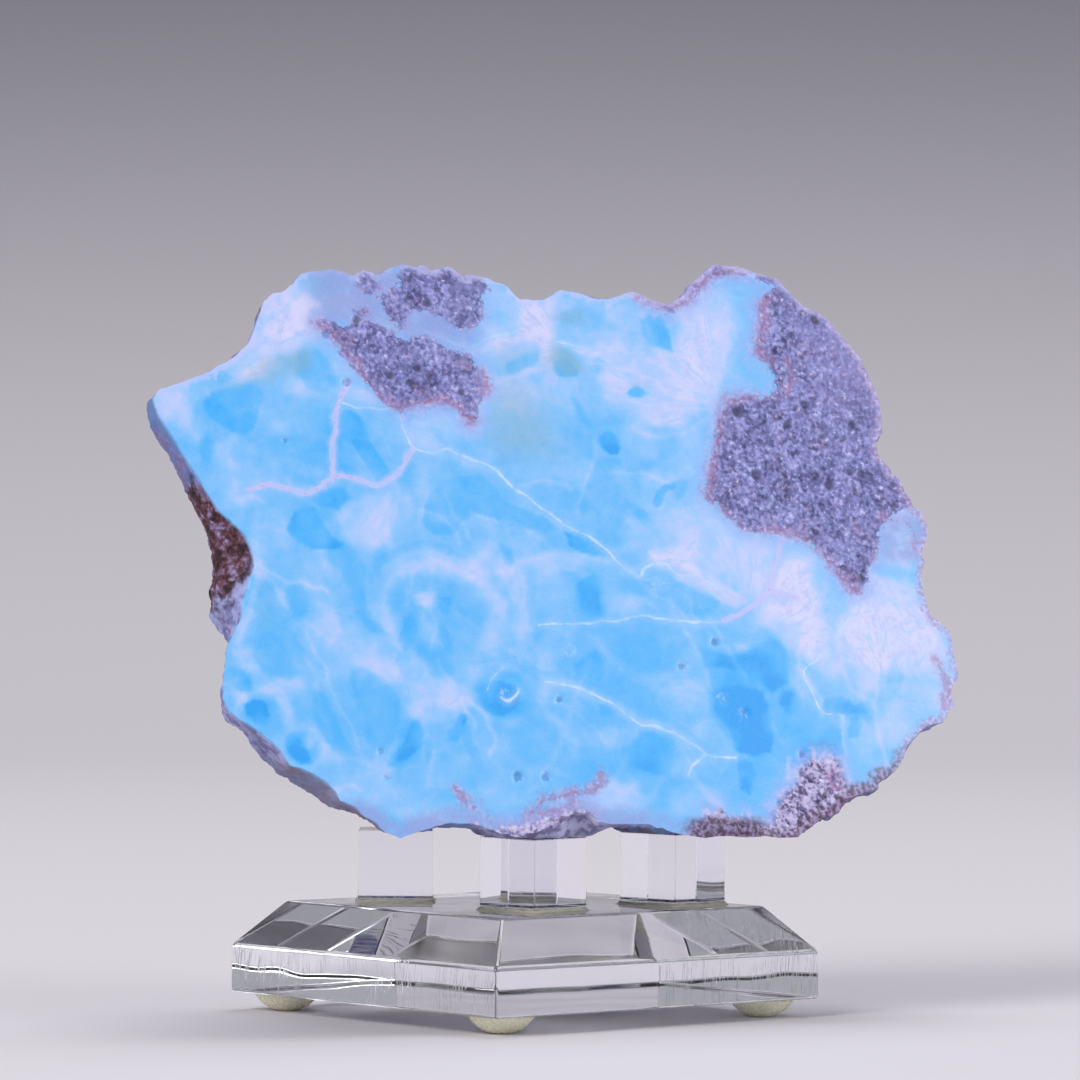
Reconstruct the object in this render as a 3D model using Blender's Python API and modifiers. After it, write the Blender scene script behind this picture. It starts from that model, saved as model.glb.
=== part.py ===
"""Rough larimar with one polished face, standing on a clear four-post stand.

Blender 4.5 script, metres, +Z up. The base's middle is worked out first, then
everything is moved so that the origin is under the middle of the whole object,
on the surface that its rubber feet stand on. Seen from -Y, the polished face
looks at the viewer, a little to the right and a little up.
"""
import math

import bmesh
import bpy
from mathutils import Euler, Matrix, Vector, noise

MM = 0.001
GAP = 0.3            # clearance between touching pieces, mm

# The stand, mm
BASE_SIDE = 50.8
BASE_WALL = 5.8      # upright part of the base's edge
BEVEL_RISE = 5.4     # polished slope above it
BEVEL_RUN = 4.8      # how far the slope comes in
BASE_TURN = 40.1     # degrees about Z, so that a corner points at the viewer
FOOT_RADIUS = 3.95
FOOT_HEIGHT = 2.2
FOOT_TIP_RADIUS = 1.2
FOOT_INSET = 7.0     # from the base's corner, along its diagonal
POST_SIDE = 9.1
POST_HEIGHT = 8.2
POST_TOP = FOOT_HEIGHT + BASE_WALL + BEVEL_RISE + GAP + POST_HEIGHT

# Each post's middle on the base, mm, and its turn about Z in degrees
POSTS = {
    "post_front": (1.1, -13.5, 46.6),
    "post_right": (18.0, -0.8, 46.5),
    "post_back": (1.7, 14.0, 2.0),
    "post_left": (-15.7, 3.4, 1.0),
}

# The stone's own axes: X across the polished face, Y into the stone, Z up the face
STONE_MIDDLE = (3.5, -8.6, 57.2)      # mm, a point on the face, from the base's middle
FACE_TURN = 24.2                      # degrees the face looks to the right
FACE_LEAN = 19.1                      # degrees the face leans back
REST_LEVEL = POST_TOP + GAP           # the stone is level here, over the posts
HANG_LEVEL = REST_LEVEL - 0.6         # crust beside a post may hang this low
UNDERSIDE_LIFT = 0.9                  # mm that the underside clears that level elsewhere
BEARING_REACH = 2.4                   # the underside comes down to a post from up to this high
POST_REACH = POST_SIDE * 0.75         # from a post's middle, so far the stone bears on it
POST_FADE = 2.0                       # and over this distance that stops

# The polished face's edge, (across, up) in mm, clockwise from the left tip
FACE_EDGE = [
    (-49.4, 17.7), (-48.3, 18.8), (-42.8, 20.8), (-38.6, 23.0), (-36.1, 25.2), (-34.1, 29.9),
    (-32.7, 31.4), (-31.6, 31.5), (-30.2, 32.3), (-28.8, 34.0), (-24.5, 34.7), (-22.0, 33.9),
    (-20.5, 34.6), (-18.6, 34.2), (-15.2, 35.6), (-13.7, 35.1), (-12.6, 35.6), (-11.7, 34.9),
    (-9.0, 35.3), (-7.6, 34.3), (-6.2, 34.4), (-2.2, 33.3), (-0.2, 31.3), (3.2, 31.4),
    (5.3, 32.8), (11.1, 31.6), (15.0, 32.7), (19.8, 31.1), (22.2, 32.5), (23.5, 34.1),
    (26.7, 36.6), (30.9, 36.3), (35.6, 34.6), (38.3, 31.3), (40.5, 30.6), (42.0, 29.1),
    (45.4, 24.5), (47.1, 18.6), (46.7, 14.6), (45.5, 13.2), (45.7, 11.7), (48.1, 8.5),
    (49.4, 5.1), (50.4, 4.4), (51.1, 1.9), (49.5, -1.3), (49.9, -2.3), (49.1, -4.0),
    (49.1, -6.3), (49.4, -9.0), (51.7, -11.1), (51.8, -13.7), (52.1, -16.9), (50.9, -18.6),
    (50.6, -20.8), (49.0, -22.9), (46.4, -23.5), (43.6, -25.9), (41.9, -28.7), (38.9, -30.6),
    (38.5, -31.5), (37.1, -31.6), (34.3, -32.7), (32.1, -34.7), (30.6, -34.8), (26.8, -37.3),
    (14.3, -37.1), (11.1, -36.7), (7.3, -35.5), (0.8, -35.2), (-0.3, -33.8), (-2.2, -33.7),
    (-6.4, -35.8), (-10.4, -36.7), (-15.9, -34.9), (-19.1, -34.9), (-25.0, -36.6), (-26.8, -35.8),
    (-30.2, -32.8), (-31.9, -31.8), (-33.0, -29.9), (-35.3, -28.3), (-37.6, -27.5), (-38.7, -25.6),
    (-40.7, -23.6), (-44.1, -21.3), (-45.1, -19.2), (-44.2, -14.7), (-43.7, -12.8), (-41.7, -9.8),
    (-41.0, -7.3), (-38.9, -3.0), (-39.1, -0.9), (-39.9, 1.0), (-42.7, 3.7), (-49.0, 15.9),
]

# The rough side all round, seen from the front: (degrees round HEART, depth in mm that
# the side runs straight back before it falls in, mm that it swells past the face's edge)
SIDES = [
    (0, 4.0, 0.0), (25, 3.0, 0.0), (60, 2.5, 0.0), (90, 3.0, 0.0), (120, 3.0, 0.0),
    (145, 3.0, 0.0), (156, 3.0, 0.0), (160, 4.0, 0.0), (166, 6.0, 0.0), (172, 6.5, 0.8),
    (177, 7.0, 3.8), (184, 7.0, 4.0), (188, 5.0, 0.6), (193, 1.0, 0.0), (198, 1.0, 0.0),
    (202, 3.0, 0.0), (208, 4.0, 0.0), (219, 2.5, 0.0), (226, 1.0, 0.0), (232, 1.0, 0.0),
    (240, 8.0, 0.0), (250, 40.0, 0.0), (300, 30.0, 0.0), (312, 10.0, 0.0), (325, 5.0, 0.0),
    (345, 4.0, 0.0), (360, 4.0, 0.0),
]
SIDE_FALL = 0.75      # mm that a side then comes in for each mm of depth
STEPS_FADE = 9.0      # mm past the straight part over which the edge's small steps fade out
STEPS_SPAN = 9        # points either way over which the edge is evened out behind
NOTCH_FILL = 0.8      # mm, the most that a notch in the edge fills up behind

# Roughness of the broken skin: the size of each kind of mark and how deep it is, mm
SCOOP_SIZE, SCOOP_DEPTH = 15.0, 5.0
CHIP_SIZE, CHIP_DEPTH = 6.5, 1.6
GRAIN_SIZE, GRAIN_DEPTH = 3.1, 0.5
PIT_SIZE, PIT_DEPTH = 5.2, 2.6

# Broken faces behind it: (outward direction, a point on it), stone axes, mm
BREAKS = [
    ((0.20, 0.93, 0.30), (5, 27, 2)),         # broad back
    ((0.02, 0.55, 0.83), (6, 14, 30)),        # behind the top edge
    ((-0.45, 0.62, 0.64), (-30, 10, 26)),     # behind the pale upper left lobe
    ((-0.62, 0.74, -0.26), (-36, 17, -12)),   # behind the left notch
    ((-0.42, 0.50, -0.76), (-36, 9, -30)),    # lower left underside
    ((0.86, 0.50, 0.10), (49, 10, -4)),       # right end
    ((0.58, 0.62, 0.53), (42, 12, 23)),       # upper right shoulder
    ((0.58, 0.48, -0.66), (43, 7, -28)),      # lower right underside
    ((-0.33, 0.92, -0.20), (-20, 31, -20)),   # back, lower left
    ((0.44, 0.86, -0.25), (28, 27, -18)),     # back, lower right
    ((0.12, 0.80, 0.58), (16, 21, 22)),       # chip across the back's top
]
HEART = Vector((1.0, 14.0, -2.0))     # inside the stone, seen from which every side shows
RINGS = 46
EDGE_STEP = 1.5                       # mm between points round the face's edge
CUT_BAND = 1.5                        # mm of the side that the saw left straight
SWELL_FADE = 5.0                      # mm of depth over which a swell is reached
ROUGH_FADE = 7.0                      # and over which the roughness grows to its full depth
CORNER_SHARPNESS = 60                 # how crisply two broken faces meet
STONE_TRIANGLES = 7900


def clear_scene():
    for thing in list(bpy.data.objects):
        bpy.data.objects.remove(thing, do_unlink=True)


def collection(name):
    made = bpy.data.collections.new(name)
    bpy.context.scene.collection.children.link(made)
    return made


def finish_material(name, colour, roughness, metallic=0.0, clear=0.0):
    made = bpy.data.materials.new(name)
    made.use_nodes = True
    shader = made.node_tree.nodes["Principled BSDF"]
    shader.inputs["Base Color"].default_value = (*colour, 1.0)
    shader.inputs["Roughness"].default_value = roughness
    shader.inputs["Metallic"].default_value = metallic
    shader.inputs["Transmission Weight"].default_value = clear
    made.diffuse_color = (*colour, 1.0)
    return made


def mesh_object(name, shape, material, parts):
    mesh = bpy.data.meshes.new(name)
    shape.to_mesh(mesh)
    shape.free()
    made = bpy.data.objects.new(name, mesh)
    made.data.materials.append(material)
    parts.objects.link(made)
    return made


def soften_edges(thing, width):
    """A small bevel, as left by flame polishing."""
    bevel = thing.modifiers.new("polished edges", "BEVEL")
    bevel.width = width
    bevel.segments = 2
    bevel.limit_method = "ANGLE"
    bevel.angle_limit = math.radians(20)


def build_base(material, parts):
    """A square block whose top slopes in all round."""
    shape = bmesh.new()
    bmesh.ops.create_cube(shape, size=1.0)
    side = BASE_SIDE * MM
    wall = BASE_WALL * MM
    bmesh.ops.scale(shape, vec=(side, side, wall), verts=shape.verts)
    bmesh.ops.translate(shape, vec=(0, 0, FOOT_HEIGHT * MM + wall / 2), verts=shape.verts)
    top = max(shape.faces, key=lambda face: face.calc_center_median().z)
    grown = bmesh.ops.extrude_face_region(shape, geom=[top])
    bmesh.ops.delete(shape, geom=[top], context="FACES_ONLY")
    rim = [item for item in grown["geom"] if isinstance(item, bmesh.types.BMVert)]
    narrow = (BASE_SIDE - 2 * BEVEL_RUN) / BASE_SIDE
    bmesh.ops.scale(shape, vec=(narrow, narrow, 1), verts=rim)
    bmesh.ops.translate(shape, vec=(0, 0, BEVEL_RISE * MM), verts=rim)
    made = mesh_object("stand_base", shape, material, parts)
    made.rotation_euler.z = math.radians(BASE_TURN)
    soften_edges(made, 0.35 * MM)
    return made


def build_post(name, place, material, parts):
    """A square rod cut square, glued upright on the base."""
    across, away, turn = place
    shape = bmesh.new()
    bmesh.ops.create_cube(shape, size=1.0)
    bmesh.ops.scale(shape, vec=(POST_SIDE * MM, POST_SIDE * MM, POST_HEIGHT * MM), verts=shape.verts)
    made = mesh_object(name, shape, material, parts)
    made.location = (across * MM, away * MM, (POST_TOP - POST_HEIGHT / 2) * MM)
    made.rotation_euler.z = math.radians(turn)
    soften_edges(made, 0.25 * MM)
    return made


def foot_profile():
    """Half of a domed bumper from its glued face down to its flat tip, (radius, height)."""
    glued = FOOT_HEIGHT - GAP
    ball = (FOOT_RADIUS ** 2 + FOOT_HEIGHT ** 2) / (2 * FOOT_HEIGHT)
    start = math.asin(FOOT_TIP_RADIUS / ball)
    end = math.asin(FOOT_RADIUS / ball)
    drop = ball * (math.cos(start) - math.cos(end))
    points = [(0.0, glued)]
    steps = 4
    for step in range(steps + 1):
        angle = end + (start - end) * step / steps
        rise = ball * (math.cos(start) - math.cos(angle)) * glued / drop
        points.append((ball * math.sin(angle), rise))
    points.append((0.0, 0.0))
    return points


def build_foot(name, corner, material, parts):
    """A turned rubber dome under one corner of the base."""
    shape = bmesh.new()
    ring = [shape.verts.new((radius * MM, 0, height * MM)) for radius, height in foot_profile()]
    for upper, lower in zip(ring, ring[1:]):
        shape.edges.new((upper, lower))
    made = mesh_object(name, shape, material, parts)
    turn = math.radians(BASE_TURN + 45 + 90 * corner)
    reach = (BASE_SIDE / math.sqrt(2) - FOOT_INSET) * MM
    made.location = (reach * math.cos(turn), reach * math.sin(turn), 0)
    screw = made.modifiers.new("turned", "SCREW")
    screw.steps = 24
    screw.render_steps = 24
    screw.use_merge_vertices = True
    screw.merge_threshold = 0.00002
    return made


def stone_frame():
    """Where the stone's own axes stand, from the base's middle."""
    turn = Euler((math.radians(-FACE_LEAN), 0, math.radians(FACE_TURN)))
    return Matrix.Translation(Vector(STONE_MIDDLE)) @ turn.to_matrix().to_4x4()


def walk_edge():
    """The face's edge with its corners kept and points added about EDGE_STEP apart."""
    points = []
    for here, there in zip(FACE_EDGE, FACE_EDGE[1:] + FACE_EDGE[:1]):
        start = Vector(here)
        run = Vector(there) - start
        count = max(1, round(run.length / EDGE_STEP))
        points += [start + run * step / count for step in range(count)]
    return points


def side_at(angle):
    """Depth that the side runs straight back at this angle, and its swell, mm."""
    degrees = math.degrees(angle) % 360
    for low, high in zip(SIDES, SIDES[1:]):
        if degrees <= high[0]:
            share = (degrees - low[0]) / (high[0] - low[0])
            return tuple(low[index] + (high[index] - low[index]) * share for index in (1, 2))


def smooth_step(value):
    value = min(1.0, max(0.0, value))
    return value * value * (3 - 2 * value)


def reach(direction, rim_distance, depth, swell, underside):
    """Distance from HEART to the stone's skin, before any roughness."""
    sideways = math.hypot(direction.x, direction.z)
    limits = []
    if sideways > 0.05:
        limits.append((rim_distance + swell) / sideways)
        inward = sideways + direction.y * SIDE_FALL
        if inward > 0.02:
            fallen = rim_distance + swell + (depth - HEART.y) * SIDE_FALL
            limits.append(fallen / inward)
    for outward, point in BREAKS + [underside]:
        facing = Vector(outward).normalized()
        along = facing.dot(direction)
        if along > 0.02:
            limits.append(facing.dot(Vector(point) - HEART) / along)
    nearest = min(limits)
    softened = sum((limit / nearest) ** -CORNER_SHARPNESS for limit in limits)
    return nearest * softened ** (-1 / CORNER_SHARPNESS)


def roughness(place):
    """Scooped chips, ledges, pits and grain of the broken skin at a point, mm outwards."""
    scoop = noise.voronoi(place / SCOOP_SIZE + Vector((3.1, 0.4, 7.7)))[0][0] ** 2
    chip = noise.voronoi(place / CHIP_SIZE + Vector((9.2, 5.5, 1.3)))[0][0] ** 2
    grain = noise.noise(place / GRAIN_SIZE + Vector((1.7, 8.8, 2.9)))
    pit = max(0.0, noise.noise(place / PIT_SIZE + Vector((6.4, 2.2, 4.8))) - 0.28)
    ledges = SCOOP_DEPTH * (scoop - 0.40) + CHIP_DEPTH * (chip - 0.36)
    return ledges + GRAIN_DEPTH * grain - PIT_DEPTH * pit


def near_post(place):
    """1 where a point of the stone, mm from the base's middle, is over a post, 0 beside it."""
    nearest = min(math.hypot(place.x - across, place.y - away) for across, away, turn in POSTS.values())
    return 1 - smooth_step((nearest - POST_REACH) / POST_FADE)


def evened_out(distances):
    """Each distance round the closed edge, averaged with its neighbours, notches kept."""
    window = range(-STEPS_SPAN, STEPS_SPAN + 1)
    evened = []
    for place, distance in enumerate(distances):
        near = [distances[(place + step) % len(distances)] for step in window]
        evened.append(min(sum(near) / len(near), distance + NOTCH_FILL))
    return evened


def build_stone(material, parts):
    """Rings run from the polished face's edge, round the rough sides, to a pole behind."""
    frame = stone_frame()
    back = frame.inverted()
    down = (back.to_3x3() @ Vector((0, 0, -1))).normalized()
    underside = (tuple(down), tuple(back @ Vector((0, 0, REST_LEVEL + UNDERSIDE_LIFT))))
    pole = Vector((0, 1, 0))
    edge = walk_edge()
    rim_distances = [math.hypot(point.x - HEART.x, point.y - HEART.z) for point in edge]
    even_distances = evened_out(rim_distances)

    def settle(place):
        """Low spots over the posts bear on them, and nothing hangs lower than the crust."""
        stood = frame @ place
        over = near_post(stood)
        if stood.z < REST_LEVEL + BEARING_REACH:
            stood.z += (REST_LEVEL - stood.z) * over
        stood.z = max(stood.z, HANG_LEVEL + (REST_LEVEL - HANG_LEVEL) * over)
        settled = back @ stood
        settled.y = max(settled.y, 0.0)
        return settled

    shape = bmesh.new()
    rim = [shape.verts.new((point.x, 0, point.y)) for point in edge]
    last = rim
    for ring in range(1, RINGS):
        share = ring / RINGS
        made = []
        for point, rim_distance, even in zip(edge, rim_distances, even_distances):
            start = Vector((point.x, 0, point.y)) - HEART
            out = start.normalized().slerp(pole, share)
            sawn = rim_distance / max(0.05, math.hypot(out.x, out.z))
            depth = max(0.0, (HEART + out * sawn).y)
            straight, swell = side_at(math.atan2(start.z, start.x))
            swell *= smooth_step(depth / SWELL_FADE)
            width = rim_distance + (even - rim_distance) * smooth_step((depth - straight) / STEPS_FADE)
            broken = reach(out, width, straight, swell, underside)
            skin = HEART + out * (sawn + (broken - sawn) * smooth_step(depth / CUT_BAND))
            skin += out * roughness(skin) * smooth_step((depth - 0.5) / ROUGH_FADE)
            made.append(shape.verts.new(settle(skin)))
        for index in range(len(edge)):
            after = (index + 1) % len(edge)
            shape.faces.new((last[index], last[after], made[after], made[index]))
        last = made
    behind = HEART + pole * reach(pole, 0.0, 0.0, 0.0, underside)
    tip = shape.verts.new(settle(behind + pole * roughness(behind)))
    for index in range(len(edge)):
        shape.faces.new((last[index], last[(index + 1) % len(edge)], tip))
    shape.faces.new(rim)
    bmesh.ops.recalc_face_normals(shape, faces=shape.faces)
    bmesh.ops.scale(shape, vec=(MM, MM, MM), verts=shape.verts)
    bmesh.ops.triangulate(shape, faces=shape.faces)

    dense = mesh_object("stone_dense", shape, material, parts)
    thin = dense.modifiers.new("fewer faces", "DECIMATE")
    thin.ratio = STONE_TRIANGLES / len(dense.data.polygons)
    drawn = dense.evaluated_get(bpy.context.evaluated_depsgraph_get())
    mesh = bpy.data.meshes.new_from_object(drawn)
    bpy.data.objects.remove(dense, do_unlink=True)
    flatten_face(mesh)
    stone = bpy.data.objects.new("larimar_stone", mesh)
    parts.objects.link(stone)
    placed = frame.copy()
    placed.translation *= MM
    stone.matrix_world = placed
    return stone


def flatten_face(mesh):
    """The polished face is one true plane."""
    for vertex in mesh.vertices:
        if vertex.co.y < 0.02 * MM:
            vertex.co.y = 0.0


def centre_on_footprint(parts):
    """Move every piece so that the origin is under the middle of the object's box."""
    bpy.context.view_layer.update()
    graph = bpy.context.evaluated_depsgraph_get()
    corners = []
    for thing in parts.objects:
        drawn = thing.evaluated_get(graph)
        corners += [thing.matrix_world @ vertex.co for vertex in drawn.to_mesh().vertices]
        drawn.to_mesh_clear()
    low = [min(corner[axis] for corner in corners) for axis in range(3)]
    high = [max(corner[axis] for corner in corners) for axis in range(3)]
    shift = Vector((-(low[0] + high[0]) / 2, -(low[1] + high[1]) / 2, -low[2]))
    for thing in parts.objects:
        thing.location += shift


def build():
    clear_scene()
    parts = collection("larimar_specimen")
    stone = finish_material("larimar", (0.33, 0.60, 0.82), 0.38)
    acrylic = finish_material("clear_acrylic", (0.93, 0.94, 0.96), 0.03, clear=1.0)
    rubber = finish_material("clear_rubber", (0.82, 0.80, 0.62), 0.35)
    build_base(acrylic, parts)
    for name, place in POSTS.items():
        build_post(name, place, acrylic, parts)
    for corner, name in enumerate(("foot_back", "foot_left", "foot_front", "foot_right")):
        build_foot(name, corner, rubber, parts)
    build_stone(stone, parts)
    centre_on_footprint(parts)


build()
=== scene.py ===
"""Rough larimar with one polished face, standing on a clear four-post stand."""
import math

import bmesh
import bpy
import numpy as np
from mathutils import Euler, Matrix, Vector, geometry, noise


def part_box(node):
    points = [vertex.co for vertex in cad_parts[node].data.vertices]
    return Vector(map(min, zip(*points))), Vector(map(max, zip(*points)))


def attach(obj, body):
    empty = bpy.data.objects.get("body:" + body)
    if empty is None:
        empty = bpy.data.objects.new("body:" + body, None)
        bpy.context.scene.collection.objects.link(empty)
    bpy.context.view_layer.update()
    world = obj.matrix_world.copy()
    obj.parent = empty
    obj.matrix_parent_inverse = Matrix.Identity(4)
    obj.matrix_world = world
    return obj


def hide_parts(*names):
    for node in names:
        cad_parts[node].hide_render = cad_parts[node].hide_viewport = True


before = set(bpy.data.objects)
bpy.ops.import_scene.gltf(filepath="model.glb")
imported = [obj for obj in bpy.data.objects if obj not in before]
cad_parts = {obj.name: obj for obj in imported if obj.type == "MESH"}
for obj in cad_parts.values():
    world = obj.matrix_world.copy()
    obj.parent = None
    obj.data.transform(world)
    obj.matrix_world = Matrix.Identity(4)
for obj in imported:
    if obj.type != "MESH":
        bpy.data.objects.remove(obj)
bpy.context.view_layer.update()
bpy.context.scene.view_settings.view_transform = "Standard"

# Camera
# A long lens looks level at the middle of the stone from about 70 cm, with the
# slight roll of a hand-held shot. Its place is measured from the base's underside.
base_low, base_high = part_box("stand_base")
base_middle = Vector(((base_low[0] + base_high[0]) / 2, (base_low[1] + base_high[1]) / 2, base_low[2]))
lens = bpy.data.cameras.new("long_lens")
lens.lens = 193
lens.sensor_width = 36
lens.clip_start = 0.01
lens.clip_end = 20
camera = bpy.data.objects.new("camera", lens)
camera.location = base_middle + Vector((0.001685, -0.7034, 0.0553))
camera.rotation_euler = (math.radians(90), math.radians(-0.3365), 0)
bpy.context.scene.collection.objects.link(camera)
bpy.context.scene.camera = camera

# Floor and light
# A plain pale sheet lies under the stand and rises softly far behind it. One broad
# lamp at the front left, a weaker one at the right and one above give even light.
def paint(red, green, blue):
    """A colour from 0 to 255 as the shaders want it."""
    parts = [value / 255 for value in (red, green, blue)]
    return (*[part / 12.92 if part <= 0.04045 else ((part + 0.055) / 1.055) ** 2.4 for part in parts], 1.0)


def finish(name):
    """A new material, its node tree and its shader."""
    made = bpy.data.materials.new(name)
    made.use_nodes = True
    return made, made.node_tree, made.node_tree.nodes["Principled BSDF"]


def add(tree, kind, inputs=None, **settings):
    """One node. inputs pairs a socket's name or number with a value or an output."""
    made = tree.nodes.new(kind)
    for name, value in settings.items():
        setattr(made, name, value)
    for name, value in (inputs or {}).items():
        if isinstance(value, bpy.types.NodeSocket):
            tree.links.new(value, made.inputs[name])
        else:
            made.inputs[name].default_value = value
    return made


def piece(name, shape, *materials):
    """A mesh piece of the object, its place in its mesh."""
    mesh = bpy.data.meshes.new(name)
    shape.to_mesh(mesh)
    shape.free()
    made = bpy.data.objects.new(name, mesh)
    for material in materials:
        mesh.materials.append(material)
    bpy.context.scene.collection.objects.link(made)
    return made


sheet = bmesh.new()
rows = []
for step in range(33):
    rise = max(0, step - 12) / 20
    away = -1.6 + 0.2 * step if step <= 12 else 0.8 + 1.2 * math.sin(rise * math.pi / 2)
    height = 1.2 * (1 - math.cos(rise * math.pi / 2)) + (1.5 if step == 32 else 0)
    rows.append([sheet.verts.new((side, away, height)) for side in (-3, 3)])
for near, far in zip(rows, rows[1:]):
    sheet.faces.new((near[0], near[1], far[1], far[0]))
pale, tree, shader = finish("pale_sheet")
up = add(tree, "ShaderNodeSeparateXYZ", {0: add(tree, "ShaderNodeTexCoord").outputs["Object"]}).outputs[2]
fall = add(tree, "ShaderNodeMapRange", {0: up, 1: 0.0, 2: 0.35}, interpolation_type="SMOOTHSTEP")
shade = add(tree, "ShaderNodeMix", {0: fall.outputs[0], 6: paint(208, 203, 208), 7: paint(120, 118, 128)},
            data_type="RGBA")
tree.links.new(shade.outputs[2], shader.inputs["Base Color"])
shader.inputs["Roughness"].default_value = 0.8
floor = piece("floor", sheet, pale)
for face in floor.data.polygons:
    face.use_smooth = True

for name, place, size, power, tint in (
    ("lamp_front_left", (-1.1, -1.3, 1.2), 1.1, 26, (1.0, 0.98, 0.97)),
    ("lamp_right", (1.5, -0.5, 0.7), 0.9, 8, (0.95, 0.97, 1.0)),
    ("lamp_above", (0.1, 0.5, 1.5), 1.0, 12, (0.97, 0.98, 1.0)),
):
    light = bpy.data.lights.new(name, "AREA")
    light.shape = "DISK"
    light.size = size
    light.energy = power
    light.color = tint
    lamp = bpy.data.objects.new(name, light)
    lamp.location = place
    lamp.rotation_euler = (Vector((0, 0, 0.05)) - Vector(place)).to_track_quat("-Z", "Y").to_euler()
    bpy.context.scene.collection.objects.link(lamp)
world = bpy.data.worlds.new("soft_room")
world.use_nodes = True
world.node_tree.nodes["Background"].inputs["Color"].default_value = (0.80, 0.82, 0.88, 1)
world.node_tree.nodes["Background"].inputs["Strength"].default_value = 0.45
bpy.context.scene.world = world

# Base
# A square block of clear acrylic about 5 cm wide. Its top slopes in all round, and
# the sawn edges were flamed clear, which left the slopes a little wavy.
BASE_SIDE = 0.0508
BASE_WALL = 0.0058
BASE_SLOPE = (0.0048, 0.0054)
BASE_TURN = math.radians(40.1)


def clear_acrylic(name, wave, scratches):
    """Clear acrylic in gentle waves. The base's is scratched at the left and scuffed below."""
    made, tree, shader = finish(name)
    shader.inputs["Base Color"].default_value = (0.945, 0.94, 0.985, 1)
    shader.inputs["Transmission Weight"].default_value = 1.0
    shader.inputs["Roughness"].default_value = 0.015
    shader.inputs["IOR"].default_value = 1.45
    place = add(tree, "ShaderNodeTexCoord").outputs["Object"]
    slow = add(tree, "ShaderNodeTexNoise", {"Vector": place, "Scale": 95, "Detail": 0.0})
    bump = add(tree, "ShaderNodeBump", {"Height": slow.outputs[0], "Strength": wave, "Distance": 0.0008})
    if scratches:
        turned = add(tree, "ShaderNodeMapping", {
            "Vector": place, "Rotation": (0.14, 0, BASE_TURN), "Scale": (0.01, 0.00024, 0.006)},
            vector_type="TEXTURE")
        drawn = add(tree, "ShaderNodeTexNoise", {"Vector": turned.outputs[0], "Scale": 1.0, "Detail": 2.0})
        fine = add(tree, "ShaderNodeMapRange", {0: drawn.outputs[0], 1: 0.56, 2: 0.66})
        cloud = add(tree, "ShaderNodeTexNoise", {"Vector": place, "Scale": 95, "Detail": 2.0})
        where = add(tree, "ShaderNodeMapRange", {0: cloud.outputs[0], 1: 0.44, 2: 0.62})
        side = add(tree, "ShaderNodeSeparateXYZ", {0: add(tree, "ShaderNodeNewGeometry").outputs["True Normal"]})
        left = add(tree, "ShaderNodeMapRange", {0: side.outputs[0], 1: -0.6, 2: -0.75})
        kept = add(tree, "ShaderNodeMath", {0: fine.outputs[0], 1: where.outputs[0]}, operation="MULTIPLY")
        mark = add(tree, "ShaderNodeMath", {0: kept.outputs[0], 1: left.outputs[0]}, operation="MULTIPLY")
        bump = add(tree, "ShaderNodeBump", {
            "Height": mark.outputs[0], "Strength": 0.6, "Distance": 0.00012, "Normal": bump.outputs[0]})
        scuffed = add(tree, "ShaderNodeMapRange", {0: side.outputs[2], 1: -0.9, 2: -0.98})
        worn = add(tree, "ShaderNodeMath", {0: mark.outputs[0], 1: scuffed.outputs[0]}, operation="MAXIMUM")
        rough = add(tree, "ShaderNodeMapRange", {0: worn.outputs[0], 3: 0.015, 4: 0.35})
        tree.links.new(rough.outputs[0], shader.inputs["Roughness"])
    tree.links.new(bump.outputs[0], shader.inputs["Normal"])
    return made


def round_edges(thing, width, steps=3):
    """Edges softened by the flame, shaded so that the flat sides stay flat."""
    bevel = thing.modifiers.new("flamed edges", "BEVEL")
    bevel.width = width
    bevel.segments = steps
    bevel.limit_method = "ANGLE"
    bevel.angle_limit = math.radians(20)
    bevel.harden_normals = True
    for face in thing.data.polygons:
        face.use_smooth = True


block = bmesh.new()
bmesh.ops.create_cube(block, size=1.0)
bmesh.ops.scale(block, vec=(BASE_SIDE, BASE_SIDE, BASE_WALL), verts=block.verts)
bmesh.ops.translate(block, vec=(0, 0, BASE_WALL / 2), verts=block.verts)
lid = max(block.faces, key=lambda face: face.calc_center_median().z)
grown = bmesh.ops.extrude_face_region(block, geom=[lid])
bmesh.ops.delete(block, geom=[lid], context="FACES_ONLY")
rim = [item for item in grown["geom"] if isinstance(item, bmesh.types.BMVert)]
narrow = 1 - 2 * BASE_SLOPE[0] / BASE_SIDE
bmesh.ops.scale(block, vec=(narrow, narrow, 1), verts=rim)
bmesh.ops.translate(block, vec=(0, 0, BASE_SLOPE[1]), verts=rim)
bmesh.ops.recalc_face_normals(block, faces=block.faces)
block.transform(Matrix.Translation(base_middle) @ Matrix.Rotation(BASE_TURN, 4, "Z"))
base = piece("acrylic_base", block, clear_acrylic("base_acrylic", 0.10, scratches=True))
round_edges(base, 0.00042)
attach(base, "root")
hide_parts("stand_base")

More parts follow.
